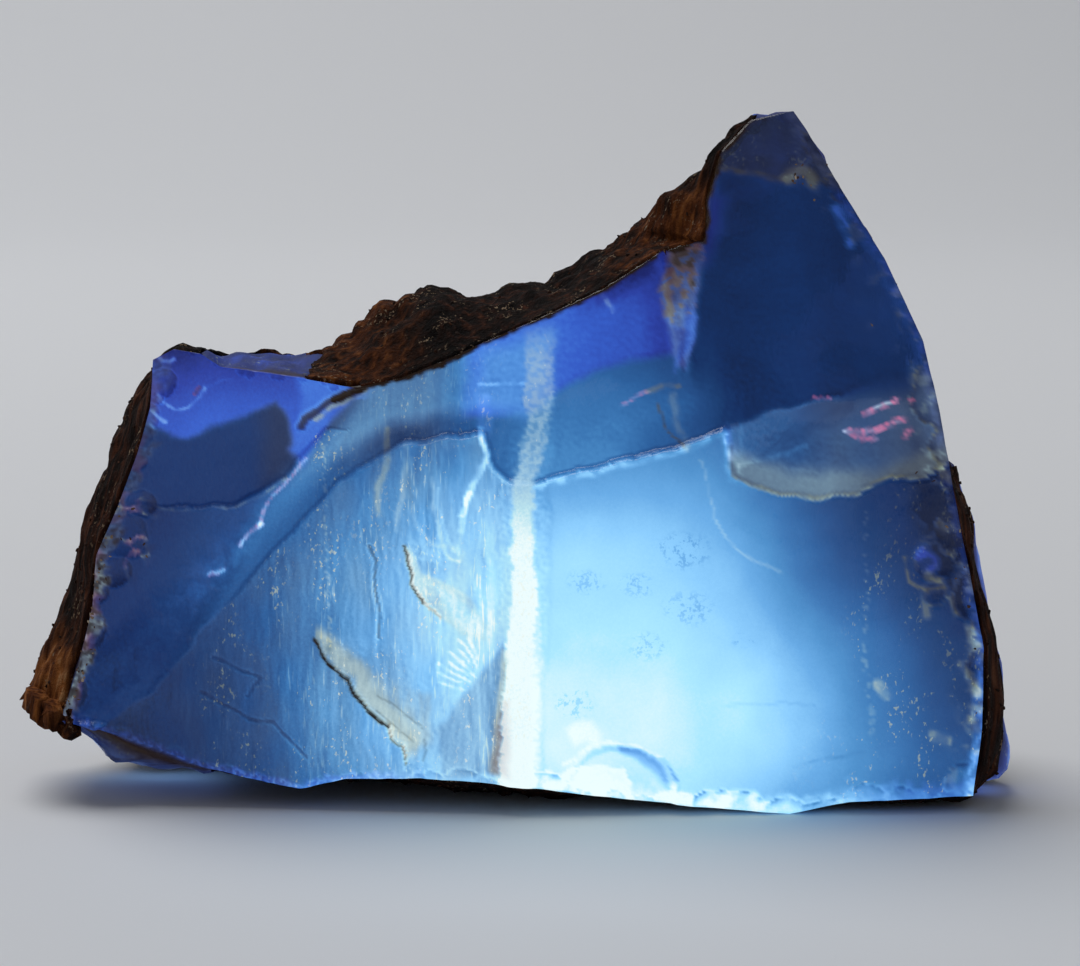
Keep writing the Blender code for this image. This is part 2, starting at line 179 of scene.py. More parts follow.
# %% Lines of the fracture
LEDGE = [(-48, 2), (-34.6, 10.7), (-29.8, 16.4), (-22.2, 25), (-18.7, 28.8), (-15, 32.3),
         (-10.5, 34.7), (-3.5, 35.8), (-2.9, 33.3), (-1.3, 31.5), (1.4, 31.1), (5.5, 32.4),
         (9, 33.3), (15.2, 34.7), (19, 36.4), (19.7, 31.9), (21.4, 31.1), (24.4, 30.2),
         (27.9, 29.8), (31.3, 30.4), (34.1, 31.7), (37.1, 31.6), (39.4, 32.6), (46, 38)]
LEDGE_STEP = [(-36, 0), (-24, 1.1), (-12, 1.9), (-3, 1.6), (6, 1.4), (16, 1.2), (19, 1.2),
              (20.4, 0.3), (33, 0.3), (37, 0.8), (40, 0.4)]
ARC_TOP = [(-46, 4), (-38, 10), (-32, 16), (-25.2, 24.7), (-20.5, 30.2), (-17, 33.7),
           (-12.3, 36.6), (-6.2, 38), (2, 37.5)]
CREST = [(-38, 8), (-33, 14), (-29.4, 20), (-26.5, 24.8), (-24.7, 28.5), (-21.6, 32), (-18.1, 35),
         (-15, 39), (-13, 44)]
SEAM = [(-42, 29.6), (-33.9, 28.4), (-29.4, 28.4), (-26.3, 28.7), (-21.8, 31.5), (-18, 36)]
VIOLET_EDGE = [(-42, 36.6), (-35.4, 36.4), (-33.6, 35.8), (-32.5, 35.2), (-31, 34.9), (-29.2, 35.8),
               (-25.6, 37.2), (-22.6, 38.3), (-22, 37.6), (-21.4, 36.4), (-20.9, 34.5),
               (-20.4, 33), (-18.1, 36), (-15.2, 39)]
SPIRE_FOOT = [(12, 36), (19.2, 36.3), (22.4, 37.7), (27.9, 38.7), (32.1, 39.5), (38.5, 40.5),
              (46, 42)]
SPIRE_SIDE = [(16.9, 30), (16.9, 36.2), (16.2, 40.4), (15.9, 43.2), (16.5, 47.9), (17.1, 56)]
NOTCH_FOOT, NOTCH_LEAN, NOTCH_DEEP = (15.2, 41), 0.17, 1.2
TOP_BEND = [(-6, 36.6), (-1.8, 36.9), (1, 37.5), (3.8, 39.2), (7.5, 41), (10.5, 41.9),
            (14.5, 42.6), (20, 43)]
RIDGE = [(-0.4, 0), (-0.2, 11.7), (0.4, 20), (0.4, 31), (1.8, 37), (2, 46)]
RIDGE_WIDE, RIDGE_HIGH = 2.6, 0.75
print(len(LEDGE) - 1, "pieces in the ledge")

# %% Cracks and the shell-shaped chip
CRACK = [(-19.2, 16.2), (-18.5, 14.8), (-17.8, 13.9), (-16.9, 13), (-16.1, 12.5), (-15.6, 11.5),
         (-14.6, 10.1), (-13.3, 8.5), (-12.4, 8.2), (-11.9, 6.8), (-11.1, 6.3), (-10.6, 4.7)]
CHIP_CRACK = [(-10.6, 25.4), (-10.4, 24.6), (-10, 21.7), (-9, 20), (-7.2, 18.6)]
THIN_CRACKS = [
    [(-13.9, 25.2), (-13.4, 23.6), (-13.3, 21.4), (-13.0, 18.9), (-13.1, 16.8)],
    [(-30, 11.2), (-26, 8.9), (-23.2, 8.3), (-21.8, 6.8), (-19.9, 5.1)],
    [(-28.7, 14.7), (-27.1, 13.6), (-24.2, 12.6), (-25.6, 11)],
]
HOOK = [(-20.2, 36.3), (-19.8, 37.1), (-19.1, 37.7), (-18, 38.4), (-17, 38.9), (-15.9, 39.4),
        (-14.8, 40)]
SHELL_AT, SHELL_SIZE, SHELL_DEEP = (9.2, 1.2), (5.6, 5.9), 0.5
print("cracks:", 3 + len(THIN_CRACKS))

# %% [markdown]
# Each face between those lines is a plane with a shallow bowl in it. A plane needs only a depth,
# the place where it holds and two slopes, so nine faces fit in nine rows.

# %% Tilted faces and their hollows
# Depth at a point (x, z), the point, and how much deeper the face runs per mm to the right and up.
FACES = {
    "window": (0.35, (14, 7), (0, 0)),
    "rough": (0.75, (0, 8), (-0.105, 0)),
    "left": (4.6, (-26, 24), (-0.17, -0.03)),
    "quad": (5.2, (-26, 32), (-0.10, -0.06)),
    "violet": (5.2, (-26, 32), (-0.10, -0.06)),
    "inner": (3.5, (-12, 34), (-0.11, 0.10)),
    "scoop": (2.0, (8, 31), (0.004, 0.10)),
    "spire": (2.7, (26, 38), (0.03, 0.25)),
    "chip": (2.3, (28, 31), (0, 0.045)),
}
# Hollows in those faces: the middle (x, z), the reach across and up, and the depth.
HOLLOWS = {
    "rough": ((-12, 18), (13, 16), 0.5),
    "left": ((-36, 19), (8, 12), 0.8),
    "scoop": ((6, 35), (11, 6), 0.5),
    "spire": ((28, 49), (11, 13), 0.7),
    "chip": ((29, 36), (10, 6), 0.5),
}
print(len(FACES), "faces,", len(HOLLOWS), "with a hollow")

# %% [markdown]
# The drawn lines cut the front into regions. Each region is a share from 0 to 1, not a yes or
# no, so two faces meet in a crisp ledge or in a soft fold by the width of one ramp. The same
# shares are used twice, for the depth and for the glow.

# %% Where each face lies
def regions(x, z):
    """A share from 0 to 1 for each face of the fracture, with crisp or soft edges."""
    over_foot, over_bend = above(SPIRE_FOOT, x, z), above(TOP_BEND, x, z)
    over_ledge, side = above(LEDGE, x, z), right_of(SPIRE_SIDE, x, z)
    foot_wide = 0.3 + 1.2 * ramp(x, 28, 34)
    in_spire = mix(ramp(side, -1.5, 4), ramp(side, -0.5, 0.3), ramp(z, 39, 43))
    return {
        "over_ledge": over_ledge,
        "set_back": ramp(over_ledge, -0.05, 0.4),
        "quad": ramp(above(SEAM, x, z), -0.1, 0.3),
        "violet": ramp(above(VIOLET_EDGE, x, z), -0.5, 0.5),
        "inner": ramp(above(CREST, x, z), 1.2, -1.6),
        "scoop": ramp(x, -5, -1),
        "over_bend": over_bend,
        "bent": ramp(x, -6, -3.5) * ramp(over_bend, 0, 1.2),
        "spire": in_spire * ramp(over_foot, -foot_wide, foot_wide),
        "chip": ramp(over_foot, foot_wide, -foot_wide) * ramp(x, 18.6, 19.8),
        "trough": (ramp(over_ledge, 0, 0.5) * ramp(above(ARC_TOP, x, z), 1.0, -1.4)
                   * ramp(x, 1, -4)),
        "from_ridge": np.abs(x - line_at([(p[1], p[0]) for p in RIDGE], z)),
    }


middle = regions(np.array([14.0]), np.array([15.0]))
print("share set back in the middle of the window:", float(middle["set_back"][0]))

# %% [markdown]
# Fine relief comes on top of the faces: small shell-shaped chips along the broken edges, grain
# on the rough face, faint rings that a fracture leaves as it travels, and cracks. Chips are
# scattered along a side of the rim with a fixed seed, so the stone comes out the same each time.

# %% Chips along the rim
chance = np.random.RandomState(7)


def along(points, share):
    """Points at each share, 0 to 1, of the length of an outline's side."""
    points = np.array(points, float)
    run = np.concatenate([[0], np.cumsum(np.hypot(*np.diff(points, axis=0).T))])
    at = np.asarray(share) * run[-1]
    return np.stack([np.interp(at, run, points[:, 0]), np.interp(at, run, points[:, 1])], -1)


def chips_along(side, start, end, count, sizes, inward):
    """Chips as rows of x, z, radius and depth, with their middles set a little off the rim."""
    share = start + (end - start) * (np.arange(count) + chance.uniform(-0.45, 0.45, count)) / count
    radius = sizes[0] + (sizes[1] - sizes[0]) * chance.uniform(0, 1, count) ** 2
    outward = chance.uniform(-0.2, 0.75, count) * radius
    middle = along(RIM[side], share) - np.array(inward) * outward[:, None]
    return np.column_stack([middle, radius, radius * chance.uniform(0.14, 0.28, count)])


CHIPS = np.concatenate([
    chips_along("bottom", 0.42, 0.90, 54, (0.5, 2.1), (0, 1)),
    chips_along("bottom", 0.02, 0.42, 24, (0.4, 1.2), (0, 1)),
    chips_along("bottom", 0.90, 0.99, 9, (0.6, 1.6), (0, 1)),
    chips_along("right", 0.02, 0.60, 40, (0.5, 2.4), (-1, 0)),
    chips_along("right", 0.60, 0.98, 18, (0.5, 1.5), (-1, 0)),
    chips_along("left", 0.03, 0.95, 34, (0.5, 2.0), (1, 0)),
    chips_along("top", 0.05, 0.95, 40, (0.4, 0.9), (0, -1)),
    [(38.6, 24.0, 1.9, 0.25), (38.6, 21.0, 1.2, 0.2), (-37.0, 25.4, 2.2, 0.6),
     (-35.6, 28.6, 1.4, 0.5), (-38.2, 22.0, 1.5, 0.45), (-33.2, 40.2, 1.3, 0.35)],
])
print(len(CHIPS), "chips along the rim")

# %% Marks that the chips, rings and cracks leave
FLAT_CHIP, FLAT_BELOW = (0.75, 1.15), 8    # chips low on the stone are wider than tall


def chip_marks(x, z):
    """How deep the chips cut, each a bowl with a crisp edge, and where their edges run."""
    deep, lip = np.zeros(np.shape(x)), np.zeros(np.shape(x))
    for middle_x, middle_z, radius, depth in CHIPS:
        wide, tall = FLAT_CHIP if middle_z < FLAT_BELOW else (1, 1)
        apart = np.hypot(wide * (x - middle_x), tall * (z - middle_z))
        here = depth * np.sqrt(np.clip(1 - (apart / radius) ** 2, 0, 1))
        deepest = here > deep
        lip = np.where(deepest, ramp(radius - apart, 0.36, 0.08) * ramp(radius, 0.5, 1.0), lip)
        deep = np.maximum(deep, here)
    return deep, lip


def rings(x, z, middle, first, last, spacing, high):
    """Faint rings around a point, between two distances from it."""
    r = np.hypot(x - middle[0], z - middle[1])
    r = r + 0.5 * noise_at(x, 0, z, 0.2, 17)
    shown = ramp(r, first, first + 2) * ramp(r, last, last - 3)
    return high * np.sin(2 * math.pi * r / spacing) * shown


def fine_relief(x, z, part):
    """Rings, grain and thin cracks, a few hundredths to tenths of a millimetre."""
    on_rough = (1 - part["set_back"]) * ramp(x, 0, -2)
    fine = rings(x, z, (27, 40), 10, 18, 2.6, 0.010) * ramp(x, 14, 18)
    fine += 0.06 * noise_at(x, 0, z, (0.9, 1, 0.12)) * on_rough
    fine += 0.045 * noise_at(x, 0, z, (2.2, 1, 0.45), 5) * on_rough
    fine += 0.09 * noise_at(x, 0, z, 0.16, 11)
    for crack in THIN_CRACKS:
        fine += 0.14 * ramp(distance_to(crack, x, z), 0.26, 0)
    return fine + 0.22 * ramp(distance_to(HOOK, x, z), 0.55, 0.1)


print("deepest chip, mm:", round(float(CHIPS[:, 3].max()), 2))

# %% [markdown]
# Now the depth of the whole front can be written down. The two proud faces meet at an upright
# ridge, the faces above the ledge sit one to two millimetres back, and flakes have lifted off
# behind the two long cracks.

# %% Depth of each level
BEND_SLOPE = 0.27


def face(name, x, z):
    """Depth of one face, with its hollow."""
    depth, (x0, z0), (per_x, per_z) = FACES[name]
    y = depth + per_x * (x - x0) + per_z * (z - z0)
    if name in HOLLOWS:
        (x0, z0), (wide, tall), deep = HOLLOWS[name]
        y = y + deep * np.maximum(1 - ((x - x0) / wide) ** 2 - ((z - z0) / tall) ** 2, 0) ** 1.5
    return y


def flaked(y, crack, deep, reach, x, z):
    """A crack, and right of it a flake that has lifted off and fades out over its reach."""
    aside = right_of(crack[::-1], x, z)
    top, foot = crack[0][1], crack[-1][1]
    ends = ramp(z, foot - 1, foot + 2) * ramp(z, top + 0.5, top - 2)
    return y + deep * ends * ramp(aside, -0.02, 0.35) * ramp(aside, reach, 0.4)


def proud_level(x, z):
    """The two faces below the ledge, which fall back a little towards the foot."""
    window = face("window", x, z) + 0.0016 * (x - 14) ** 2 + 0.006 * np.maximum(7 - z, 0) ** 2
    rough = face("rough", x, z) + 0.004 * np.maximum(8 - z, 0) ** 2
    return mix(rough, window, ramp(x, -1.5, 1.5))


def set_back_level(x, z, part):
    """The faces above the ledge, laid over one another from left to right."""
    y = face("left", x, z)
    for name in ("quad", "violet", "inner", "scoop"):
        y = mix(y, face(name, x, z), part[name])
    y = mix(y, face("scoop", x, z) + BEND_SLOPE * part["over_bend"], part["bent"])
    for name in ("spire", "chip"):
        y = mix(y, face(name, x, z), part[name])
    return y


for name, (middle, _, _) in HOLLOWS.items():
    print(name, "lies", round(float(face(name, *middle)), 2), "mm deep in its hollow")

# %% Depth of the fracture
TROUGH_DEEP, STEP_SLOPE, STEP_ROUND = 0.5, 0.20, 0.7
FLAKED = [(CRACK, 1.0, 7.0), (CHIP_CRACK, 0.8, 5.0)]    # a crack, how deep and how far it lifts


def fracture(x, z):
    """Depth y of the front surface at each (x, z)."""
    x, z = wander(x, z)
    part = regions(x, z)
    proud, set_back = proud_level(x, z), set_back_level(x, z, part)
    set_back = set_back + TROUGH_DEEP * part["trough"] * ramp(x, -30, -14)
    held = proud + line_at(LEDGE_STEP, x) + STEP_SLOPE * np.maximum(part["over_ledge"], 0)
    lower_of_both = (set_back + held - np.hypot(set_back - held, STEP_ROUND)) / 2
    upper = mix(set_back, lower_of_both, ramp(part["over_ledge"], 7, 1.5))
    y = mix(proud, upper, part["set_back"])
    y = y - RIDGE_HIGH * ramp(part["from_ridge"], RIDGE_WIDE, 0.4) * ramp(z, 42, 33)
    for crack, deep, reach in FLAKED:
        y = flaked(y, crack, deep, reach, x, z)
    from_shell = np.hypot((x - SHELL_AT[0]) / SHELL_SIZE[0], (z - SHELL_AT[1]) / SHELL_SIZE[1])
    y = y + SHELL_DEEP * ramp(from_shell, 1.0, 0.86) * mix(0.3, 1, ramp(x, 5, 12))
    notch = np.abs(x - NOTCH_FOOT[0]) - NOTCH_LEAN * (z - NOTCH_FOOT[1])
    up_notch = ramp(z, NOTCH_FOOT[1] - 0.5, NOTCH_FOOT[1] + 2)
    y = y + NOTCH_DEEP * ramp(notch, 0.4, -0.6) * up_notch
    return y + chip_marks(x, z)[0] + fine_relief(x, z, part)


shell_middle = [np.array([v]) for v in SHELL_AT]
print("depth in the shell-shaped chip, mm:", round(float(fracture(*shell_middle)[0]), 2))

# %% [markdown]
# A cube whose faces are cut into many cells can be moulded over the three outlines: its front
# face fills the rim, its four sides run back over the girth, and its back face closes the dome.
# A sheet with four curved edges is filled by a Coons patch, which blends opposite edges.

# %% Sizes of the girth and the back
MIDDLE_X = 2.0
BACK_Y, BACK_LEAN, BACK_BEND_Z, BACK_CROWN = 40.0, 0.43, 15.0, 0.0035
BACK_WIDTH, BACK_HEIGHT, BACK_LIFT = 0.76, 0.80, 2.0
GIRTH_AT = 0.42
BACK_TURN = math.radians(66)
SAG, THINNEST = 3.2, 3.0
GROOVE_AT, GROOVE_DEEP = 0.2, 1.8


def girth_depth(x, z):
    lump = 5 * ramp(z, 30, 44) * ramp(z, 60, 50) * ramp(x, -36, -16)
    return 16 + lump - 4.5 * ramp(z, 46, 64) - 4 * ramp(x, 30, 46) * ramp(z, 50, 20)


def back_depth(x, z):
    lean = BACK_LEAN * np.maximum(z - BACK_BEND_Z, 0)
    return BACK_Y - lean - BACK_CROWN * (x - MIDDLE_X) ** 2


print("girth at", float(girth_depth(0, 20)), "mm, back at", float(back_depth(0, 20)), "mm")

# %% Mould a cube into the stone
def inside(outline, a, c):
    """A Coons patch: fills a four-sided outline, a from left to right and c from bottom to top."""
    bottom, top = along(outline["bottom"], a), along(outline["top"], a)
    left, right = along(outline["left"], c), along(outline["right"], c)
    a, c = a[:, None], c[:, None]
    corners = [np.array(outline[side][end]) for side, end in
               (("bottom", 0), ("bottom", -1), ("top", 0), ("top", -1))]
    flat = mix(mix(corners[0], corners[1], a), mix(corners[2], corners[3], a), c)
    return mix(bottom, top, c) + mix(left, right, a) - flat


def mould(share):
    """Turns cube coordinates (a across, b deep, c up, all 0 to 1) into points of the stone."""
    a, b, c = share.T
    rim, girth = inside(RIM, a, c), inside(GIRTH, a, c)
    back = np.stack([mix(MIDDLE_X, girth[:, 0], BACK_WIDTH), girth[:, 1] * BACK_HEIGHT], -1)
    back[:, 1] += BACK_LIFT
    y_rim = fracture(rim[:, 0], rim[:, 1])
    y_girth = np.maximum(girth_depth(girth[:, 0], girth[:, 1]), y_rim + THINNEST)
    out = np.clip(b / GIRTH_AT, 0, 1)
    over = np.clip((b - GIRTH_AT) / (1 - GIRTH_AT), 0, 1) * BACK_TURN
    flat = mix(rim, girth, np.sin(out * math.pi / 2)[:, None])
    flat = mix(flat, back, ((1 - np.cos(over)) / (1 - math.cos(BACK_TURN)))[:, None])
    hung = ramp(-rim[:, 0], 28, 36) * (c == 0)
    y = mix(y_rim, y_girth, mix(out, out ** 2.4, hung))
    bulge = ramp(b, GIRTH_AT, 0.6) * ramp(b, 1, 0.8) * ramp(flat[:, 0], -34, -24)
    flat[:, 1] -= SAG * bulge * (c == 0)
    y += GROOVE_DEEP * hung * ramp(np.abs(out - GROOVE_AT), GROOVE_AT, 0)
    deep = back_depth(flat[:, 0], flat[:, 1]) - y_girth
    inset = np.clip((np.abs(2 * a - 1) ** 4 + np.abs(2 * c - 1) ** 4) ** 0.25, 0, 1)
    dome = np.sqrt(1 - (math.cos(BACK_TURN) * inset) ** 2)
    y = np.where(b >= 1, y_girth + deep * dome, y + deep * np.sin(over))
    return np.stack([flat[:, 0], y, flat[:, 1]], -1)


back_middle = mould(np.array([(0.5, 1, 0.5)]))[0]
print("middle of the back, mm:", [round(float(v), 1) for v in back_middle])

# %% [markdown]
# Old rind is lumpy and ridged like bark, and a few flat breaks slice across the back. The same
# noise shapes the amber under the rind and the rind itself, so that the two fit each other.

# %% Weather the old surface
BREAKS = [((24, 30, 34), (0.45, 0.82, 0.35)), ((-30, 27, 24), (-0.62, 0.72, 0.30)),
          ((4, 36, 24), (0.05, 0.98, 0.18)), ((-6, 27, 44), (-0.12, 0.62, 0.78))]
BREAK_CUT = 0.88    # the share of what stands past a break that it takes away


def rind_height(points):
    """How far the old surface stands out at each point: lumps, knobs, ridges and pits."""
    x, y, z = points.T
    lumps = 1.3 * noise_at(x, y, z, 0.055, (3.1, 0, 7.7))
    knobs = 0.8 * noise_at(x, y, z, 0.16)
    bark = np.abs(noise_at(x, y, z, (0.4, 0.4, 0.13), (0, 9.2, 0)))
    pits = ramp(noise_at(x, y, z, 0.11, (40, 0, 0)), 0.28, 0.5)
    return lumps + knobs + 0.9 * (bark - 0.25) - 1.2 * pits


def past_breaks(points, share):
    """For each break: its outward normal, and how far each point stands beyond its plane."""
    for place, normal in BREAKS:
        normal = np.array(normal) / np.linalg.norm(normal)
        past = np.maximum((points - np.array(place, float)) @ normal, 0)
        yield normal, past * ramp(share[:, 1], 0.4, 0.6)


def weather(points, normals, share):
    """The weathered points, and how deep each one was sliced by a break."""
    back = ramp(share[:, 1], 0.0, 0.16)
    rough = back > 0
    points = points.copy()
    points[rough] += normals[rough] * (rind_height(points[rough]) * back[rough])[:, None]
    sliced = np.zeros(len(points))
    for normal, past in past_breaks(points, share):
        points -= BREAK_CUT * past[:, None] * normal
        sliced = np.maximum(sliced, past)
    return points, sliced


print(len(BREAKS), "breaks across the back")

# %% [markdown]
# The cube is cut into cells with one call per direction. The front needs about a quarter of a
# millimetre to hold ledges and chips, so its cells are cut again; the sides and back stay
# coarse, because the rind hides them.

# %% Cut the cube and read its points
HALF, HAIR = 0.5, 0.001    # the cube reaches half a unit each way
SLIDE = 0.08               # pulls the columns a little to the left, where the rind bulges


def divided_cube(cells, front_cuts):
    """A unit cube cut into cells along x, y and z, with its front cells cut again."""
    bm = bmesh.new()
    bmesh.ops.create_cube(bm, size=1)
    for axis, count in enumerate(cells):
        edges = [e for e in bm.edges if abs((e.verts[0].co - e.verts[1].co)[axis]) > HALF]
        bmesh.ops.subdivide_edges(bm, edges=edges, cuts=count - 1, use_grid_fill=True)
    if front_cuts:
        front = [e for e in bm.edges if all(v.co.y < HAIR - HALF for v in e.verts)]
        bmesh.ops.subdivide_edges(bm, edges=front, cuts=front_cuts, use_grid_fill=True)
    return bm


def read_vectors(source, name, count):
    flat = np.empty(count * 3)
    source.foreach_get(name, flat)
    return flat.reshape(-1, 3)


def moulded_mesh(name, cells, front_cuts):
    """A mesh of the weathered stone in mm, with each vertex's cube coordinates and slices."""
    bm = divided_cube(cells, front_cuts)
    mesh = bpy.data.meshes.new(name)
    bm.to_mesh(mesh)
    bm.free()
    share = np.round(read_vectors(mesh.vertices, "co", len(mesh.vertices)) + HALF, 6)
    share[:, 0] -= SLIDE * np.sin(math.pi * share[:, 0])
    mesh.vertices.foreach_set("co", mould(share).ravel())
    mesh.update()
    points = read_vectors(mesh.vertices, "co", len(mesh.vertices))
    normals = read_vectors(mesh.vertex_normals, "vector", len(mesh.vertices))
    points, sliced = weather(points, normals, share)
    mesh.vertices.foreach_set("co", points.ravel())
    return mesh, points, share, sliced


print("faces of a small cut cube:", len(divided_cube((2, 2, 2), 0).faces))

# %% [markdown]
# The body is cut flat where it stands. The cut can leave crumbs of surface between two bumps, so
# a flood fill from the top keeps only the main piece. The body is also drawn in by half a
# millimetre wherever rind will cover it. Four places next to the fracture have no rind: most of
# the right-hand side, the tip, a lump at the upper left and a glassy flake under the left end.

# %% Where the rind lies
INSET = 0.55


def rind_cover(share, x):
    """1 where the outside carries rind, and 0 on the fracture and on the four bare places."""
    a, b, c = share.T
    cover = ramp(b, 0.0, 0.03)
    ragged = noise_at(x, 40 * b, 60 * c, 0.30, 75)
    upper_right = np.maximum(ramp(c + 0.03 * ragged, 0.43, 0.48),
                             ramp(b + 0.02 * ragged, 0.25, 0.28))
    x, b = x + 1.6 * ragged, b + 0.04 * ragged
    right_side = (a > 0.999) * ramp(b, 0.50, 0.45) * upper_right
    tip = (c > 0.999) * ramp(x, 21, 23) * ramp(b, 0.34, 0.28)
    flake = (c < 0.001) * ramp(x, -28, -30.5) * ramp(x, -43.5, -42) * ramp(b, 0.50, 0.44)
    lump = (c > 0.999) * ramp(x, -19, -20.5) * ramp(x, -31.5, -30) * ramp(b, 0.50, 0.44)
    return cover * (1 - np.max([right_side, flake, lump, tip], axis=0))


def broken_off(points, sliced):
    """1 where a break has taken the rind off, with a ragged edge, and the noise behind it."""
    x, y, z = points.T
    patchy = noise_at(x, y, z, 0.12, 71) + 0.5 * noise_at(x, y, z, 0.5, 73)
    return ramp(sliced + 1.1 * patchy, 0.9, 1.1), patchy


print("rind in the middle of the back:", rind_cover(np.array([(0.5, 1, 0.5)]), np.zeros(1))[0])

# %% Mould the amber body
BODY_CELLS, BODY_FRONT_CUTS = (112, 26, 72), 2
body_mesh, points, share, sliced = moulded_mesh("amber_body", BODY_CELLS, BODY_FRONT_CUTS)
normals = read_vectors(body_mesh.vertex_normals, "vector", len(points))
cover = rind_cover(share, points[:, 0])
points -= normals * (INSET * cover)[:, None]
body_mesh.vertices.foreach_set("co", points.ravel())
body_mesh.update()
normals = read_vectors(body_mesh.vertex_normals, "vector", len(points))
on_front = share[:, 1] < HAIR
print(len(points), "vertices,", int(on_front.sum()), "of them on the fracture")

# %% [markdown]
# The glow is painted light, worked out with formulas, one number per vertex for each channel.
# It stands in for an ultraviolet lamp below the stone that is not in the scene: the glow falls
# off with distance from one point near the base, and each face takes it up differently. The
# upper faces keep more violet, thin lips look warm.

# %% Lamp and glow curves
# Where the painted lamp is strongest, and how its painted glow falls off with distance in mm.
LAMP = (7.4, 10.8)
LAMP_FALL = [(0, .95), (6, .95), (8, .93), (13.3, .87), (17, .79), (20.7, .68), (24.3, .57),
             (28, .46), (31.7, .34), (35, .28), (40, .17), (46, .10), (60, .02)]
# Glow or warmth across a face: pairs of a place along it in mm and the value there.
TROUGH_GLOW = [(-34, .16), (-31, .22), (-29.4, .28), (-26, .36), (-22, .40), (-17, .38),
               (-14.5, .32), (-11, .22), (-6.3, .36), (-3.5, .40)]
INNER_GLOW = [(10, .08), (17, .20), (21, .29), (24, .38), (26, .45), (30, .52), (36, .57),
              (42, .52)]
BENT_GLOW = [(-4, .70), (-1.7, .68), (3.8, .58), (7.4, .52), (11, .48), (13.4, .36), (15, .5)]
CHIP_GLOW = [(19, .42), (24, .38), (26, .37), (29.5, .36), (32, .33), (35, .31), (38, .24)]
CHIP_WARM = [(19, .1), (26, .1), (29.5, .35), (32, .3), (35, .45), (38, .6)]
CORNER_GLOW = [(35, .53), (38, .47), (41, .36), (43.5, .22)]
print("glow curves reach", max(value for _, value in LAMP_FALL + INNER_GLOW + BENT_GLOW))

# %% Two ways to paint
def lay(paint, share, **values):
    """Moves channels to these values, by a share from 0 to 1 at each vertex."""
    for name, value in values.items():
        paint[name] = mix(paint[name], value, share)


def lift(paint, share, **amounts):
    """Adds these amounts to channels, times a share at each vertex."""
    for name, amount in amounts.items():
        paint[name] = paint[name] + amount * share


trial = {"glow": np.zeros(1)}
lay(trial, 0.5, glow=1.0)
lift(trial, 0.5, glow=0.1)
print("half laid, then half lifted:", trial["glow"][0])

# %% Glow of the faces
def proud_glow(x, z, lamp):
    """Below the ledge: the clear window, and the rough face to the left of it."""
    # Painted shade in the upper right, where the window curves away from the lamp.
    window = lamp - 0.21 * ramp(x, 17, 33) * ramp(z, 15, 26)
    window += 0.04 * spot(x, z, (24, 10), 8, 3) - 0.04 * ramp(z, 10, 17) * ramp(z, 26, 20)
    window += 0.05 * ramp(x, 22, 30) * ramp(z, 12, 4) - 0.05 * ramp(x, 34, 39) * ramp(z, 5, 12)
    rough = lamp + 0.10 * ramp(z, 10, 24) + 0.05 * spot(x, z, (-16, 9), 8, 3)
    rough -= 0.06 * ramp(x, -20, -29) + 0.05 * ramp(z, 30, 35)
    return mix(rough, window, ramp(x, -1.5, 1.5))


def set_back_glow(x, z, part, lamp):
    """Above the ledge: each face in turn, laid over the ones to its left."""
    scoop = lamp + 0.02 - 0.06 * ramp(x, 8, 16)
    # Painted shadow on the scoop just above the ledge.
    scoop -= (0.06 + 0.08 * ramp(x, 8, 12)) * ramp(part["over_ledge"], 4, 0.5)
    spire = 0.09 + 0.14 * ramp(x, 20.5, 17) * ramp(z, 48, 36) - 0.04 * ramp(z, 46, 58)
    faces = {
        "quad": 0.13 + 0.02 * ramp(x, -34, -26),
        "violet": line_at(CORNER_GLOW, z) - 0.05 * ramp(x, -29, -33),
        "inner": line_at(INNER_GLOW, z),
        "scoop": scoop,
        "bent": line_at(BENT_GLOW, x) - 0.07 * ramp(z, 44, 50) * ramp(x, 7, 12),
        "spire": spire + 0.03 * ramp(np.abs(x - 25), 6, 0),
        "chip": line_at(CHIP_GLOW, x) - 0.12 * ramp(part["over_ledge"], 5.5, 8.5),
        "trough": line_at(TROUGH_GLOW, x),
    }
    glow = 0.07 + 0.22 * ramp(right_of(CREST, x, z), -10, -0.5) * ramp(z, 11, 23)
    for name, value in faces.items():
        glow = mix(glow, value, part[name])
    return glow


def face_tints(x, z, part):
    """Violet where old resin scatters the glow, and warm where it is thin or weathered."""
    not_inner = 1 - part["inner"]
    violet = part["violet"] * not_inner * (1 - part["scoop"])
    violet = np.maximum(violet, part["bent"] * (1 - part["spire"]))
    violet = np.maximum(violet, 0.12 * not_inner * ramp(x, -12, -24))
    warm = line_at(CHIP_WARM, x) * part["chip"]
    warm = mix(warm, 0.25, part["inner"] * ramp(z, 30, 36) * ramp(x, -5, -9))
    dusk = part["quad"] * (1 - part["violet"]) * ramp(x, -25.5, -22.5) * not_inner
    warm = mix(warm, 0.40, dusk)
    rough_warm = np.maximum(0.09 + 0.16 * noise_at(x, 0, z, (0.45, 1, 0.2), 45), 0)
    warm = mix(rough_warm * ramp(x, 2, -1), warm, part["set_back"])
    return violet * part["set_back"], warm


print("window over the lamp:", round(float(proud_glow(*LAMP, LAMP_FALL[0][1])), 2))

# %% Paint the faces
def paint_faces(x, z, part):
    """Every channel, with what the faces alone give it."""
    lamp = line_at(LAMP_FALL, np.hypot(x - LAMP[0], z - LAMP[1]))
    proud, set_back = proud_glow(x, z, lamp), set_back_glow(x, z, part, lamp)
    violet, warm = face_tints(x, z, part)
    paint = {"glow": mix(proud, set_back, part["set_back"]), "violet": violet, "warm": warm,
             "frost": 0.7 * ramp(x, -8, -20)}
    for name in ("brown", "pink", "grit"):
        paint[name] = np.zeros(len(x))
    return paint


front_x, front_z = wander(points[:, 0], points[:, 2])
part = regions(front_x, front_z)
paint = paint_faces(front_x, front_z, part)
print("glow from", round(paint["glow"][on_front].min(), 2), "to",
      round(paint["glow"][on_front].max(), 2))
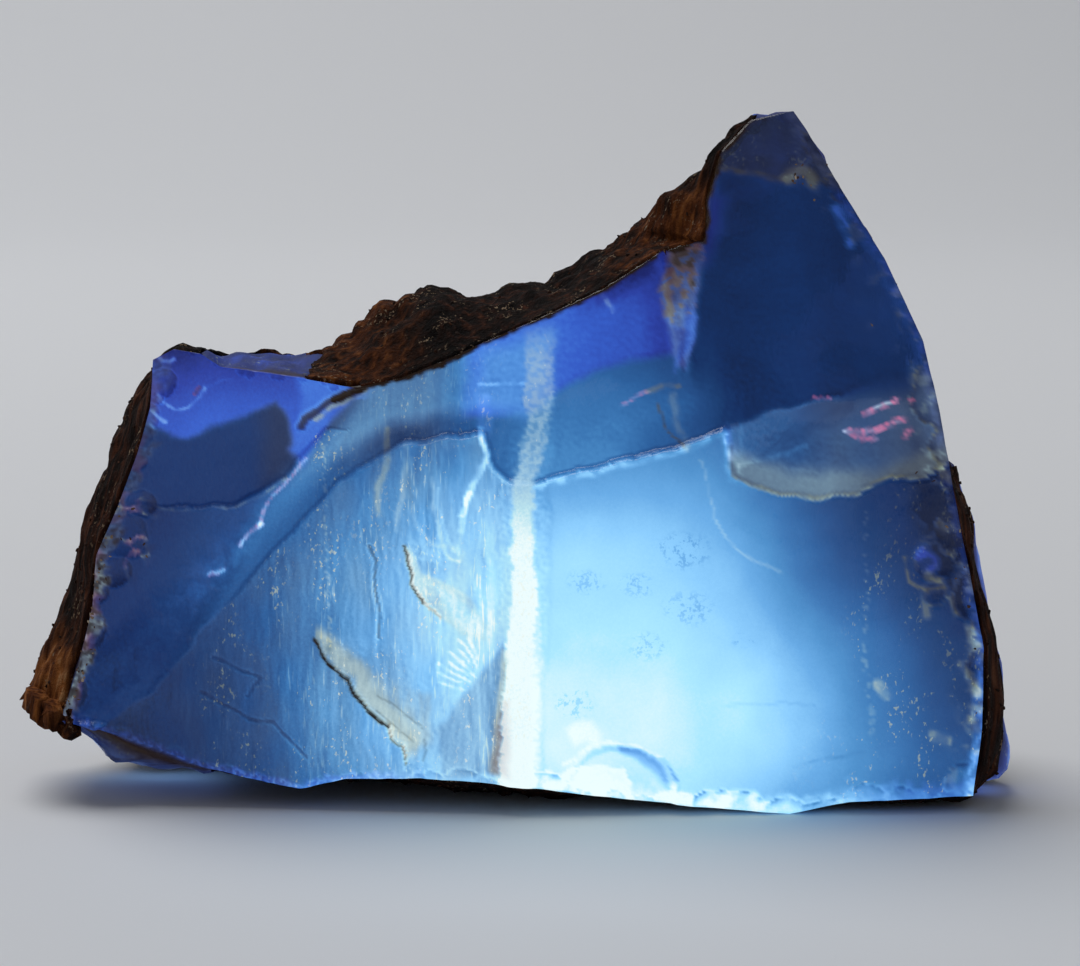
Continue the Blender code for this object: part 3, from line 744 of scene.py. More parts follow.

# %% [markdown]
# Lifted flakes, the cap of the spire, the band under the chip, whose olive is painted light
# through its thin lip, and the notch beside the spire are areas with a shape of their own. Each
# is a closed outline in (x, z), so it can be moved point by point, and one helper tells which
# vertices lie in it and how near its edge.

# %% Outlines of flakes and stains
FLAKE = [(-10.6, 25.4), (-10.2, 25.2), (-9.2, 22.8), (-6.9, 21.9), (-4.6, 20.5), (-2.7, 17.8),
         (-3.2, 16.7), (-5.3, 17.1), (-7.2, 18.6), (-9.0, 20.0), (-10.0, 21.7), (-10.4, 24.4)]
CRACK_SIDE = [(-19.8, 17.3), (-18.7, 17.3), (-17, 16.5), (-15.3, 14.8), (-13.4, 13), (-11.1, 12),
              (-8.5, 11.1), (-8.1, 9), (-8.3, 7.6), (-8.9, 6.5), (-10.7, 4.7)] + CRACK[:0:-1]
SERRATED = [(-1.2, 16.6), (-4.2, 12.6), (-7.9, 7.9), (-7.0, 3.4), (-1.4, 4.0)]
WEDGE = [(14.6, 54.5), (13.8, 51), (13, 48.6), (13.4, 46.5), (14.7, 45.2), (15.6, 45.2),
         (16.5, 48.1), (17.1, 51.6), (17.0, 55)]
WEDGE_FOOT = [(13.7, 46.5), (14.7, 45.2), (15.7, 45.2), (16.1, 44), (15.4, 41.5), (14.8, 41.9),
              (14.1, 44)]
CAP = [(16, 60.6), (18.8, 60), (21.1, 59.7), (24.4, 58.7), (26.2, 59.4), (29.5, 58), (36, 58),
       (36, 70), (16, 70)]
OLIVE = [(19.5, 34.6), (21, 33.9), (23.6, 33.6), (26.4, 33.4), (29.2, 32.9), (32.7, 32.4),
         (35.5, 33.4), (38.5, 34.6), (42, 37), (42, 30.4), (34.1, 30.5), (31.3, 29.2), (27.9, 28.6),
         (24.4, 29), (21.4, 29.9), (18.5, 30.6)]
SPIRE_STRIP = [(17.2, 51), (18.2, 52.5), (19.2, 57.2), (17.8, 58.4), (17, 54)]


def inside_patch(patch, x, z, soft):
    """1 inside a closed outline and 0 outside it, with an edge this soft."""
    within = np.zeros(np.shape(x), bool)
    closed = patch + patch[:1]
    for (x0, z0), (x1, z1) in zip(closed, closed[1:]):
        if z0 != z1:
            within ^= ((z0 > z) != (z1 > z)) & (x < x0 + (z - z0) * (x1 - x0) / (z1 - z0))
    return ramp(distance_to(closed, x, z) * np.where(within, 1, -1), -soft, soft)


print("vertices on the cap:", int((inside_patch(CAP, front_x, front_z, 0.1) * on_front).sum()))

# %% [markdown]
# Cracks, lips and seams are traces: a line, its half width in mm, and how much it adds to each
# channel. Painting them one vertex at a time keeps them sharp and lets the export bake them
# without any image. They are listed by the place where they lie.

# %% Traces left of the ridge
BESIDE_RIDGE = [
    ([(-3.2, 38.9), (-3.2, 36.0)], 0.9, {"glow": .12, "violet": .25}),
    ([(-3.5, 36.1), (-3.2, 34.4), (-3.4, 33), (-4, 31.8), (-4.5, 30.5), (-5, 29.3), (-5.4, 28.4)],
     0.42, {"glow": .20, "frost": .3}),
    ([(-4.5, 30.4), (-4.9, 29.6)], 0.50, {"glow": .16, "frost": .5}),
    ([(-5.3, 27.9), (-5.5, 26.1), (-5.3, 24.9)], 0.45, {"glow": .10}),
    ([(-8, 31.7), (-7.9, 29.8), (-7.6, 27.5), (-7.1, 25.6), (-6.4, 24.2), (-5.5, 24), (-4.9, 24.9)],
     0.28, {"glow": .10, "warm": .15}),
    ([(-7.5, 30.7), (-7.2, 28.4), (-6.7, 26.1), (-5.9, 25.1)], 0.22, {"glow": .08}),
    ([(-9.9, 33.6), (-10.1, 30), (-9.6, 27.2), (-8.0, 25.4), (-5.9, 25.3)], 0.30,
     {"glow": .05, "warm": .1}),
    ([(-10.4, 34.6), (-10.6, 31), (-11.4, 27)], 0.42, {"glow": .10, "warm": .25}),
    ([(-12.3, 36), (-12.2, 33.4), (-12.9, 30.8), (-13.2, 28.4)], 0.50, {"glow": .10, "warm": .45}),
]
CRACK_LINES = [
    (CRACK[:9], 0.27, {"brown": 1.0}),
    (CRACK[8:], 0.18, {"brown": .7}),
    ([(-13.3, 10.8), (-11.1, 9.8), (-9.1, 7.9)], 0.16, {"brown": .35}),
    ([(-13.5, 9.5), (-11.1, 7.6), (-10, 6.7)], 0.16, {"brown": .35}),
    ([(-9.0, 6.9), (-8.6, 5.8), (-9.0, 4.8)], 0.16, {"brown": .3}),
    (CHIP_CRACK[:4], 0.20, {"brown": .9}),
    (CHIP_CRACK[3:], 0.16, {"brown": .4}),
    (THIN_CRACKS[0], 0.16, {"brown": .35, "warm": .2}),
    (THIN_CRACKS[1], 0.24, {"glow": -.07, "warm": .1}),
    (THIN_CRACKS[2], 0.20, {"glow": -.06}),
    ([(12.8, 38.4), (13.7, 36.1), (15, 34.8)], 0.18, {"brown": .35, "warm": .5}),
    ([(14.2, 39.4), (14.6, 36.8), (15.4, 34.6)], 0.50, {"warm": .30, "glow": .08}),
    (HOOK, 0.46, {"brown": .8, "warm": .3}),
    (HOOK[4:], 0.70, {"brown": .8}),
    ([(-19.0, 37.1), (-17.6, 38.0), (-15.7, 39.0), (-14.4, 39.7)], 0.40, {"warm": .7, "glow": .08}),
]
print(len(BESIDE_RIDGE) + len(CRACK_LINES), "traces beside the ridge and along cracks")

# %% Traces on the left, low and at the top
LEFT_GLEAMS = [
    ([(-19.8, 33.2), (-21.6, 31.4), (-23.4, 29.2), (-24.6, 26.8)], 0.22,
     {"pink": .22, "glow": .22}),
    ([(-24.2, 27.2), (-25.4, 25.9), (-26.0, 25.2)], 0.32, {"pink": .16, "glow": .42}),
    ([(-27.8, 22.8), (-28.4, 22.3), (-29.0, 22.1)], 0.30, {"pink": .14, "glow": .36}),
    ([(-30.2, 20.6), (-28.4, 22.3), (-26.4, 24.6)], 1.3, {"glow": .05}),
    ([(-35.6, 29.1), (-33.9, 28.4), (-31.4, 28.2), (-29.4, 28.4), (-26.3, 28.7), (-23.9, 29.8),
      (-21.8, 31.5)], 0.22, {"glow": .14, "warm": .45}),
]
SHELL_RINGS = [
    ([(16.6, 33.7), (17.5, 30.7), (17.9, 28.5), (18.9, 26.5), (20.8, 24.9), (22.5, 23.8),
      (24.1, 23.3)], 0.20, {"glow": .07, "warm": .2}),
    ([(4.3, 5), (5.7, 6.2), (7.5, 7), (9.1, 7.2), (11.2, 6.7), (13.1, 5.7)], 0.24, {"glow": .07}),
    ([(4, 4), (5.2, 4.7), (7.5, 4.7), (9.6, 4.3), (10.5, 3)], 0.24, {"glow": .10}),
    # Painted shade along the left and right edges of the shell-shaped chip.
    ([(4.2, 2.3), (5.4, 2.2), (6.4, 1.4)], 0.20, {"glow": -.16}),
    ([(14.0, 4.6), (14.9, 3.4), (14.8, 2.2)], 0.20, {"glow": -.14}),
]
TOP_LINES = [
    ([(18.8, 60), (21.1, 59.7), (24.4, 58.9), (25.4, 59.2)], 0.40, {"warm": .7, "glow": .08}),
    ([(25.0, 59.0), (26.2, 60.0), (27.4, 58.7)], 0.95, {"warm": .9, "glow": .20}),
    ([(29.6, 56.2), (30.6, 54.2), (30.9, 53.0)], 0.7, {"glow": .30, "violet": .5}),
    ([(-3.8, 40.3), (0.6, 40.4)], 0.26, {"glow": .16, "frost": .2}),
    ([(6.6, 49.6), (7.7, 48.4), (8.8, 46.9)], 0.34, {"glow": .20, "warm": .3}),
    ([(9.5, 38.4), (12, 39.7)], 0.22, {"pink": .30, "glow": .10}),
    ([(12, 39.7), (13.6, 40.4), (14.6, 40.2)], 0.4, {"warm": .6, "glow": .06}),
]
print(len(LEFT_GLEAMS) + len(SHELL_RINGS) + len(TOP_LINES), "traces on the left and at the top")

# %% Traces at the spire's foot and along the borders
SPIRE_FOOT_LINES = [
    ([(19.2, 36.2), (19.9, 37), (22.4, 37.7), (25.3, 38.1), (27.9, 38.7), (29.4, 39.1)], 0.24,
     {"glow": .06}),
    # Painted shade: a dark band across the chip, below the spire.
    ([(23.0, 35.2), (26.1, 35.5), (27.9, 36.7), (30.6, 38.4)], 0.9, {"glow": -.05}),
    ([(19.2, 36.6), (19.3, 35.2), (19.8, 33.8)], 0.55, {"glow": .30, "violet": .5}),
    ([(20.2, 33.2), (22.6, 33.6), (24.8, 34.0), (26.4, 34.6)], 0.4, {"glow": .10}),
    ([(19.9, 32), (21.4, 31.3), (24.4, 30.4), (27.9, 30), (31.3, 30.6), (34.1, 31.9),
      (37.1, 31.8)], 0.30, {"warm": .25, "glow": .06}),
    ([(-26, 25.5), (-29, 22), (-32.5, 18.4), (-36.5, 13.4), (-40.6, 9.4)], 2.6, {"glow": .06}),
]
PINK_GLEAMS = [
    ([(31.9, 37.6), (32.6, 37.9), (33.3, 38.2), (34.2, 38.6), (34.9, 38.8)], 0.28,
     {"pink": .70, "glow": .25}),
    ([(33.0, 38.2), (34.2, 38.7)], 0.20, {"glow": .30, "warm": .2, "pink": -.35}),
    ([(30.2, 36.0), (31.7, 36.0), (33.4, 36.3), (35.4, 37.1)], 0.36, {"pink": .62, "glow": .20}),
    ([(30.8, 35.5), (32.1, 35.4), (33.0, 35.5)], 0.30, {"pink": .40, "glow": .12}),
    ([(30.1, 36.1), (30.3, 35.9)], 0.26, {"glow": .40, "frost": .3}),
    ([(35.7, 35.6), (36.1, 36.2)], 0.30, {"pink": .45, "glow": .08}),
    ([(36.2, 38.7), (36.7, 38.8)], 0.24, {"pink": .35}),
    ([(27.3, 38.9), (28.9, 38.9)], 0.18, {"pink": .25, "glow": .12}),
]
# Painted glow on the rims of small chips at the upper-left corner, and one painted glint.
CORNER_FLECKS = [
    ([(-33.9, 42.9), (-33.3, 42.3), (-32.7, 42.1), (-32.1, 42.4)], 0.26, {"glow": .30, "warm": .2}),
    ([(-33.8, 39.2), (-33.1, 38.5), (-32.1, 37.6), (-30.9, 38), (-29.9, 38.8), (-29.3, 39.8)], 0.26,
     {"glow": .24, "warm": .15}),
    ([(-33.9, 38.8), (-33.2, 38.2), (-32.9, 39.2), (-33.1, 39.8)], 0.20, {"glow": .20}),
    ([(-34.3, 37.5), (-33.7, 37), (-33.1, 36.5)], 0.28, {"glow": .30, "warm": .2}),
    ([(-34.8, 36.1), (-34.1, 35.9)], 0.28, {"glow": .26}),
    ([(-30.4, 39.1), (-29.8, 39.8)], 0.24, {"brown": .5, "pink": .2}),
    ([(-29.2, 39.9), (-27.5, 40.6), (-25.7, 40.7), (-24.3, 40.5)], 0.20, {"glow": .06}),
]
RIGHT_FLECKS = [
    ([(37.4, 24.6), (38.2, 23.9)], 1.4, {"glow": .34, "violet": .9}),
    ([(35.6, 24.4), (36.2, 22.2), (38.0, 21.2), (39.8, 21.4)], 0.36, {"warm": .9, "glow": .18}),
    ([(37.0, 26.0), (38.6, 26.6), (40.2, 25.8)], 0.30, {"warm": .6, "glow": .12}),
    ([(25.7, 4.8), (29, 5.5), (32.2, 6.1)], 0.22, {"glow": -.05}),
    ([(18.9, 10.6), (24.5, 10.9), (27.3, 10.6)], 0.20, {"glow": -.04}),
]
print(len(SPIRE_FOOT_LINES) + len(PINK_GLEAMS) + len(CORNER_FLECKS) + len(RIGHT_FLECKS),
      "traces at the spire's foot and along the borders")

# %% Crumbs of rind and a fan of scratches
# Crumbs of rind left on the window: two ends of each.
LEFT_ON = [((38.9, 32.6), (39.7, 31.8)), ((38.9, 27.6), (39.7, 26.7)), ((39.8, 25.2), (40.8, 23.8)),
           ((42.0, 17.6), (42.5, 16.0)), ((41.2, 14.4), (41.8, 13.2)), ((42.2, 12.4), (42.7, 11.4)),
           ((42.0, 22.4), (42.6, 21.0)), ((42.2, 9.2), (42.7, 8.2)), ((38.6, 7.6), (39.9, 7.0)),
           ((37.9, 22.8), (39.2, 22.0)), ((33.4, 12.5), (34.1, 11.6)), ((37.6, 20.6), (37.9, 18.9)),
           ((40.2, 20.4), (40.6, 19.0))]
# A fan of scratches beside the ridge, from its hub: the angle in degrees and the radii.
FAN = [(118, 5.0, 7.0), (124, 4.2, 7.4), (130, 4.8, 6.6), (136, 3.6, 7.0), (142, 4.4, 6.4),
       (148, 3.8, 7.2), (154, 4.6, 6.6), (161, 4.0, 6.2)]
FAN_HUB = (-1.5, 10.5)


def scratch(angle, radius):
    """A place at this angle and distance from the hub of the fan."""
    turn = math.radians(angle)
    return FAN_HUB[0] + radius * math.cos(turn), FAN_HUB[1] + radius * math.sin(turn)


TRACES = (BESIDE_RIDGE + CRACK_LINES + LEFT_GLEAMS + SHELL_RINGS + TOP_LINES + SPIRE_FOOT_LINES
          + PINK_GLEAMS + CORNER_FLECKS + RIGHT_FLECKS)
TRACES += [(list(ends), 0.65, {"warm": .75, "glow": .22}) for ends in LEFT_ON]
TRACES += [([scratch(angle, near), scratch(angle, far)], 0.20, {"glow": .12})
           for angle, near, far in FAN]
print(len(TRACES), "traces in all")

# %% [markdown]
# Patches set channels over an area: pale flakes, the warm foot beside the ridge, the dull cap
# and the violet strip at the spire, and the bright rings of the shell-shaped chip.

# %% Patches
# A closed outline, the softness of its edge in mm, and what it sets each channel to.
PATCHES = [
    (FLAKE, 0.25, {"glow": .92, "warm": .38, "frost": .4}),
    ([(-8, 21.6), (-5.6, 20.2), (-3.4, 18.9), (-2.9, 17.2), (-4.4, 16.9), (-6.2, 18.6)], 0.5,
     {"glow": .98, "warm": .15}),
    ([(-4, 26.1), (-2.9, 26.3), (-2.6, 24.7), (-3.3, 23.7), (-4.2, 24.2)], 0.5,
     {"glow": .86, "frost": .5, "warm": .1}),
    # The serrated triangle is painted dimmer than the face around it, as a facet in shade.
    (SERRATED, 0.40, {"glow": .76, "warm": .25, "frost": .2}),
    ([(-1.5, 15.8), (-1, 15.8), (-1, 4), (-2.7, 4), (-2.4, 7.8), (-2, 11.6)], 0.3,
     {"glow": .86, "warm": .75, "grit": .7}),
    ([(-1.4, 11), (-1, 11), (-1, 4), (-2.6, 4), (-2.3, 7.8)], 0.5,
     {"glow": .62, "warm": .85, "grit": .5, "brown": .16, "pink": .10}),
    (WEDGE, 0.45, {"warm": .42, "violet": .60, "frost": .3}),
    (WEDGE_FOOT, 0.35, {"warm": .30, "violet": .80, "glow": .46}),
    ([(36.4, 41.8), (37.9, 41.6), (38.6, 37.2), (39.2, 34.4), (37.9, 34.4), (36.7, 36.7)], 0.8,
     {"warm": .5, "glow": .34}),
    (CAP, 0.45, {"glow": .04, "warm": .65, "grit": .25}),
    (SPIRE_STRIP, 0.9, {"glow": .19, "violet": .9}),
    ([(-20.5, 41.0), (-15.4, 40.4), (-17.4, 38.0), (-18.5, 35.4), (-20.2, 32.6), (-21.5, 34.0),
      (-20.3, 36.3), (-20.4, 39.1)], 0.6, {"glow": .56, "violet": .95, "warm": 0}),
    ([(-4.4, 38.5), (0.4, 37.5), (2.6, 38.5), (3.0, 45), (-3.4, 43)], 1.2,
     {"glow": .70, "violet": .45}),
    ([(14.3, 41.5), (16, 43.5), (16.6, 46.5), (15.4, 47.5), (15, 44)], 0.4,
     {"glow": .50, "violet": .8, "warm": .1}),
    ([(4.4, 8.5), (5.2, 9.1), (6.6, 9.1), (7.7, 7.8), (7.5, 6.7), (6.1, 7.2), (5.2, 6.9)], 0.5,
     {"glow": 1.0, "frost": .2}),
    ([(9.4, 7.1), (11.7, 6.4), (13.6, 5.2), (14.8, 3.5), (13.6, 3), (12.2, 4.5), (10.8, 5.4),
      (9.2, 6.2)], 0.35, {"glow": .80, "violet": .25}),
    ([(4, 4), (5.2, 4.7), (7.5, 4.7), (9.6, 4.3), (10.5, 3), (10.3, 1.9), (7.5, 2.1), (5.2, 2.7)],
     0.25, {"glow": 1.0}),
]
for patch, soft, values in PATCHES:
    lay(paint, inside_patch(patch, front_x, front_z, soft), **values)
print(len(PATCHES), "patches")

# %% [markdown]
# Four things need more than one line or outline. The band under the chip gets a painted olive
# glow, as light through its thin lip, the notch beside the spire holds ochre crust, the flake at
# the long crack is streaked and fades out, and traces break up here and there, as real cracks do.

# %% Olive glow of the band, notch and cracked flake
OLIVE_GLOW = [(20, .52), (24, .55), (29, .55), (32, .42), (37, .38)]
OLIVE_WARM = [(24, .60), (31, .66), (36, .80)]
NOTCH_GLOW = [(45.5, .62), (48, .47), (51, .32)]
CRACKED_GLOW = [(6, .86), (8.6, .84), (11.3, .79), (13.5, .74), (17, .68)]


def paint_band(paint, x, z, over_ledge):
    """Painted olive glow, light through the thin lip at the foot of the chip above the ledge."""
    above_ledge = ramp(over_ledge, 4.2, 1.4) * ramp(over_ledge, -0.1, 0.15)
    lay(paint, inside_patch(OLIVE, x, z, 0.9) * above_ledge,
        glow=line_at(OLIVE_GLOW, x), warm=line_at(OLIVE_WARM, x))


def paint_notch(paint, x, z):
    """Ochre crust and dark crumbs in the notch, most of them near its top."""
    notch, clump = inside_patch(WEDGE, x, z, 0.45), noise_at(x, 0, z, 0.9, 93)
    higher = noise_at(x, 0, z, 1.4, 101) + 0.09 * (z - 47.5) - 0.16 * (x - 15)
    ochre = notch * ramp(higher, 0.0, 0.3)
    lay(paint, notch, glow=line_at(NOTCH_GLOW, z) + 0.16 * clump)
    lay(paint, ochre, warm=0.95)
    lift(paint, ochre, pink=0.06, brown=0.30)
    lift(paint, notch * ramp(clump + 0.2 * (z - 50.5), 0, 0.4), brown=0.5)


def paint_cracked_flake(paint, x, z):
    """The pale flake right of the long crack, solid near the crack and streaky further off."""
    streaky = x + 0.8 * noise_at(x, 0, z, (1.6, 1, 0.2), 97)
    off_crack = right_of(CRACK[::-1], x, z)
    near_crack = ramp(off_crack, 3.4, 1.2)
    streaks = 0.2 + 0.5 * ramp(noise_at(x, 0, z, (1.8, 1, 0.2), 99), -0.3, 0.3)
    side = inside_patch(CRACK_SIDE, streaky, z, 0.6) * ramp(off_crack, -0.1, 0.1)
    lay(paint, side * mix(streaks, 1, near_crack), frost=.3, grit=.6,
        glow=line_at(CRACKED_GLOW, z) + 0.07 * noise_at(x, 0, z, 0.8, 87),
        warm=.5 + .22 * near_crack)


paint_band(paint, front_x, front_z, part["over_ledge"])
paint_notch(paint, front_x, front_z)
paint_cracked_flake(paint, front_x, front_z)
print("share of the fracture with grit:", round(float((paint["grit"][on_front] > 0.2).mean()), 3))

# %% Lay the traces
def paint_traces(paint, x, z):
    """Traces break up here and there. Brown ones stay whole, and pink ones sparkle."""
    broken = 0.35 + 0.65 * ramp(noise_at(x, 0, z, 0.9, 81), -0.35, 0.1)
    sparkle = 0.25 + 0.75 * ramp(noise_at(x, 0, z, 2.6, 89), -0.2, 0.2)
    kept = {"pink": sparkle, "brown": 1}
    for line, wide, changes in TRACES:
        cover = ramp(distance_to(line, x, z), wide, wide * 0.3)
        for name, change in changes.items():
            lift(paint, cover * kept.get(name, broken), **{name: change})


paint_traces(paint, front_x, front_z)
print("brightest glow so far", round(float(paint["glow"].max()), 2))

# %% [markdown]
# Some things follow the form itself, as painted light: a lip facing the lamp brightens, an
# outstanding edge gets a painted highlight and a frosted finish, chips along the rim catch the
# light, higher chips get painted shade inside and low ones are painted darker on their lips.
# These come from the vertex normals and from how far each vertex stands out from its neighbours.

# %% How far each vertex stands out
def standing_out(mesh, points, normals):
    """How far each vertex stands out from its neighbours, as a share of the spacing."""
    ends = np.empty(len(mesh.edges) * 2, np.int64)
    mesh.edges.foreach_get("vertices", ends)
    ends = ends.reshape(-1, 2)
    step = points[ends[:, 1]] - points[ends[:, 0]]
    total, length = np.zeros_like(points), np.zeros(len(points))
    for side, sign in ((0, 1), (1, -1)):
        np.add.at(total, ends[:, side], sign * step)
        np.add.at(length, ends[:, side], np.linalg.norm(step, axis=1))
    return -(total * normals).sum(1) / length


out = standing_out(body_mesh, points, normals)
print("edges stand out by up to", round(float(out[on_front].max()), 2), "of the spacing")

# %% Lit lips and chips
SCALLOP_GLOW = [(20, .12), (40, .09), (60, .05)]


def paint_light(paint, x, z, normals, out, in_chip):
    """What faces the lamp brightens, and so does an edge that stands out."""
    toward = np.stack([LAMP[0] - x, LAMP[1] - z], -1)
    toward /= np.linalg.norm(toward, axis=1)[:, None] + 1e-6
    facing = normals[:, 0] * toward[:, 0] + normals[:, 2] * toward[:, 1]
    strength = 0.4 + 0.6 * np.clip(paint["glow"] * 1.6, 0, 1)
    lift(paint, (0.16 + 0.14 * in_chip) * strength, glow=np.clip(facing, -0.7, 0.7))
    out = out * (1 - 0.8 * ramp(x, 30, 32) * ramp(z, 37, 39))
    from_top = mix(9, distance_to(RIM["top"], x, z), ramp(x, -18, -15))
    out = np.minimum(out, 0.14 * ramp(from_top, 0.5, 1.2))
    lift(paint, strength, glow=0.6 * np.clip(out, -0.10, 0.14),
         frost=0.5 * np.clip(out - 0.04, 0, 0.3))


def paint_chips(paint, x, z, in_chip, rim_lip):
    """Chips catch light on their lips, and low ones are filled with it."""
    broken = ramp(noise_at(x, 0, z, 0.7, 85), -0.35, 0.25)
    scallop = rim_lip * (0.15 + 0.85 * broken)
    filled = in_chip * ramp(z, 9, 6) * ramp(x, -2, 3)
    lift(paint, scallop * ramp(x, -36, -30), glow=line_at(SCALLOP_GLOW, z))
    lift(paint, filled * (0.3 + 0.7 * broken), glow=0.14)
    # Painted shade inside the higher chips, and darker lips on the low ones.
    lift(paint, in_chip * ramp(z, 6, 9), glow=-0.04)
    lift(paint, filled * rim_lip * ramp(broken, 0.6, 0.2), glow=-0.22)
    lift(paint, scallop * ramp(z, 8, 14) * ramp(x, 20, 30), warm=0.5)


def paint_ledge_lip(paint, x, z, over_ledge):
    """The lip of the ledge glows, most of all beside the ridge."""
    lip = ramp(over_ledge, -0.8, -0.1) * (over_ledge < 0.1) * ramp(x, 24, 20)
    lip *= 0.3 + 0.7 * ramp(noise_at(x, 0, z, 1.2, 83), -0.3, 0.2)
    line = lip * mix(1, 0.3, ramp(np.abs(x + 1), 2.8, 2)) * ramp(x, -5, -4) * ramp(x, 21, 18)
    lift(paint, lip, glow=0.02)
    lift(paint, line, glow=0.15, frost=0.2)


chip_depth, rim_lip = chip_marks(front_x, front_z)
in_chip = ramp(chip_depth, 0.0, 0.25)
paint_light(paint, front_x, front_z, normals, out, in_chip)
paint_chips(paint, front_x, front_z, in_chip, rim_lip)
paint_ledge_lip(paint, front_x, front_z, part["over_ledge"])
print("brightest glow with lit lips", round(float(paint["glow"].max()), 2))

# %% The bright ridge
RIDGE_GLOW = [(3, 1.16), (20, 1.12), (25, 1.04), (28, .95), (31, .82), (36, .72), (42, .76),
              (46, .68)]
RIDGE_HALF = [(3, 1.50), (16, 1.05), (30, 0.95), (36, 1.05), (46, 1.25)]


def paint_ridge(paint, x, z, from_ridge):
    """A ragged white band up the ridge, dusty near its top. Returns where it lies."""
    ragged = 0.25 * noise_at(x, 0, z, 0.5, 21) + 0.30 * noise_at(x, 0, z, 2.6, 23)
    half = line_at(RIDGE_HALF, z)
    ridge = ramp(from_ridge + ragged, half + 0.35, half - 0.25) * ramp(z, 47, 42)
    dusty = 0.45 + 0.45 * ramp(noise_at(x, 0, z, 2.2, 25), -0.3, 0.2)
    ridge = ridge * mix(dusty, 1, ramp(z, 36, 28))
    lay(paint, ridge, glow=line_at(RIDGE_GLOW, z), frost=0.8 * ramp(z, 42, 28),
        warm=0.12 + 0.33 * ramp(z, 24, 31) * ramp(z, 50, 42), grit=0.35)
    return ridge


ridge = paint_ridge(paint, front_x, front_z, part["from_ridge"])
print("vertices on the ridge:", int((ridge[on_front] > 0.5).sum()))

# %% [markdown]
# Where the fracture meets the rind, its border is dirty and broken. The right-hand rim has a
# painted bright line, olive crumbs and a painted shadow, the foot a lip painted bright, and the
# left rim a crust with pale veins.
# Three noises, from broad to very fine, keep all of these uneven.

# %% Right-hand rim and foot
RIM_GLOW = [(0, .44), (12, .42), (28, .20), (50, .20), (66, .14)]
CRUMB_SHARE = [(0, .7), (30, .9), (45, .7), (58, .4), (64, .7)]
CRUMB_GLOW = [(0, .16), (30, .18), (40, .14), (66, .08)]
LOW_GLOW = [(-4, .03), (10, .06), (28, .14), (36, .13)]
patchy, fine, finest = (noise_at(front_x, 0, front_z, scale, shift)
                        for scale, shift in ((0.45, 31), (1.3, 33), (2.7, 35)))


def paint_right_rim(paint, x, z):
    """A bright line, olive crumbs and a shadow beside them. Returns where crumbs lie."""
    rim = distance_to(RIM["right"], x, z)
    line = ramp(rim + 0.3 * fine, 1.2, 0.5) * (0.4 + 0.6 * ramp(fine, -0.3, 0.2))
    lift(paint, line, glow=line_at(RIM_GLOW, z), frost=0.3 * ramp(z, 34, 20))
    lay(paint, line, violet=0.55)
    crumbs = ramp(rim + 2.2 * patchy, 3.6, 1.0) * line_at(CRUMB_SHARE, z)
    crumbs *= ramp(noise_at(x, 0, z, 0.75, 39) + 0.35 * finest, 0.16, 0.42)
    lay(paint, 0.8 * crumbs, warm=0.80)
    lift(paint, crumbs, glow=line_at(CRUMB_GLOW, z))
    shadow = ramp(rim + 2.0 * patchy, 4.5, 1.5) * (1 - crumbs) * ramp(z, 4, 12)
    lift(paint, shadow * ramp(z, 42, 34), glow=-0.05)
    return crumbs


def paint_foot(paint, x, z):
    """A frosted lip painted bright at the right and a broken blue line at the left."""
    rim = distance_to(RIM["bottom"], x, z)
    low = ramp(rim + fine, 2.2, 0.3) * ramp(x, -4, 4)
    lift(paint, low, glow=line_at(LOW_GLOW, x), frost=0.25)
    lay(paint, low * ramp(x, 28, 38), violet=0.45)
    far_low = ramp(rim + 0.5 * fine, 0.9, 0.2) * ramp(x, -6, -14)
    lift(paint, far_low * (0.3 + 0.7 * ramp(finest, -0.1, 0.2)), glow=0.20)
    lay(paint, far_low, violet=0.6)


crumbs = paint_right_rim(paint, front_x, front_z)
paint_foot(paint, front_x, front_z)
print("share of the fracture under crumbs:", round(float(crumbs[on_front].mean()), 3))

# %% Left-hand crust and upper rim
CRUST_SHARE = [(6, .3), (9, 1), (22, 1), (26, .5), (33, .35), (44, .2)]
CRUMBS_ON_CAP = (25.6, 59.6)


def paint_left_rim(paint, x, z):
    """Pale veins among the chips and a brown crust. Returns where the two lie."""
    cluster = ramp(np.hypot((x + 37.4) / 3.6, (z - 26.0) / 4.6) + 0.35 * patchy, 1.1, 0.6)
    crust = ramp(distance_to(RIM["left"], x, z) + 1.1 * patchy + 0.5 * fine, 1.4, 0.5)
    crust *= line_at(CRUST_SHARE, z)
    veins = ramp(np.abs(noise_at(x, 0, z, 0.40, 37) + 0.10 * finest), 0.15, 0.04)
    veined = cluster * veins * (0.3 + 0.7 * ramp(fine, -0.2, 0.2))
    left = np.maximum(veined, crust)
    lay(paint, 0.6 * cluster, glow=0.12)
    lift(paint, cluster * ramp(patchy, -0.1, -0.4), brown=0.30)
    lay(paint, left, warm=0.86, glow=0.36 + 0.26 * finest, violet=0.2)
    lift(paint, crust * ramp(fine + 0.4 * finest, 0.10, -0.25), brown=0.75)
    lift(paint, left * ramp(patchy, -0.1, 0.3), pink=0.12)
    return veined, crust


def paint_top_rim(paint, x, z):
    """The upper rim darkens near the notch and keeps a thin brown line under the rind."""
    rim = distance_to(RIM["top"], x, z)
    lift(paint, ramp(rim, 2.2, 0.4) * ramp(x, 4, 9) * ramp(x, 13, 12), glow=-0.18)
    lift(paint, ramp(rim + 0.2 * fine, 0.5, 0.2) * ramp(x, -16, -14) * ramp(x, 24, 21), brown=1)


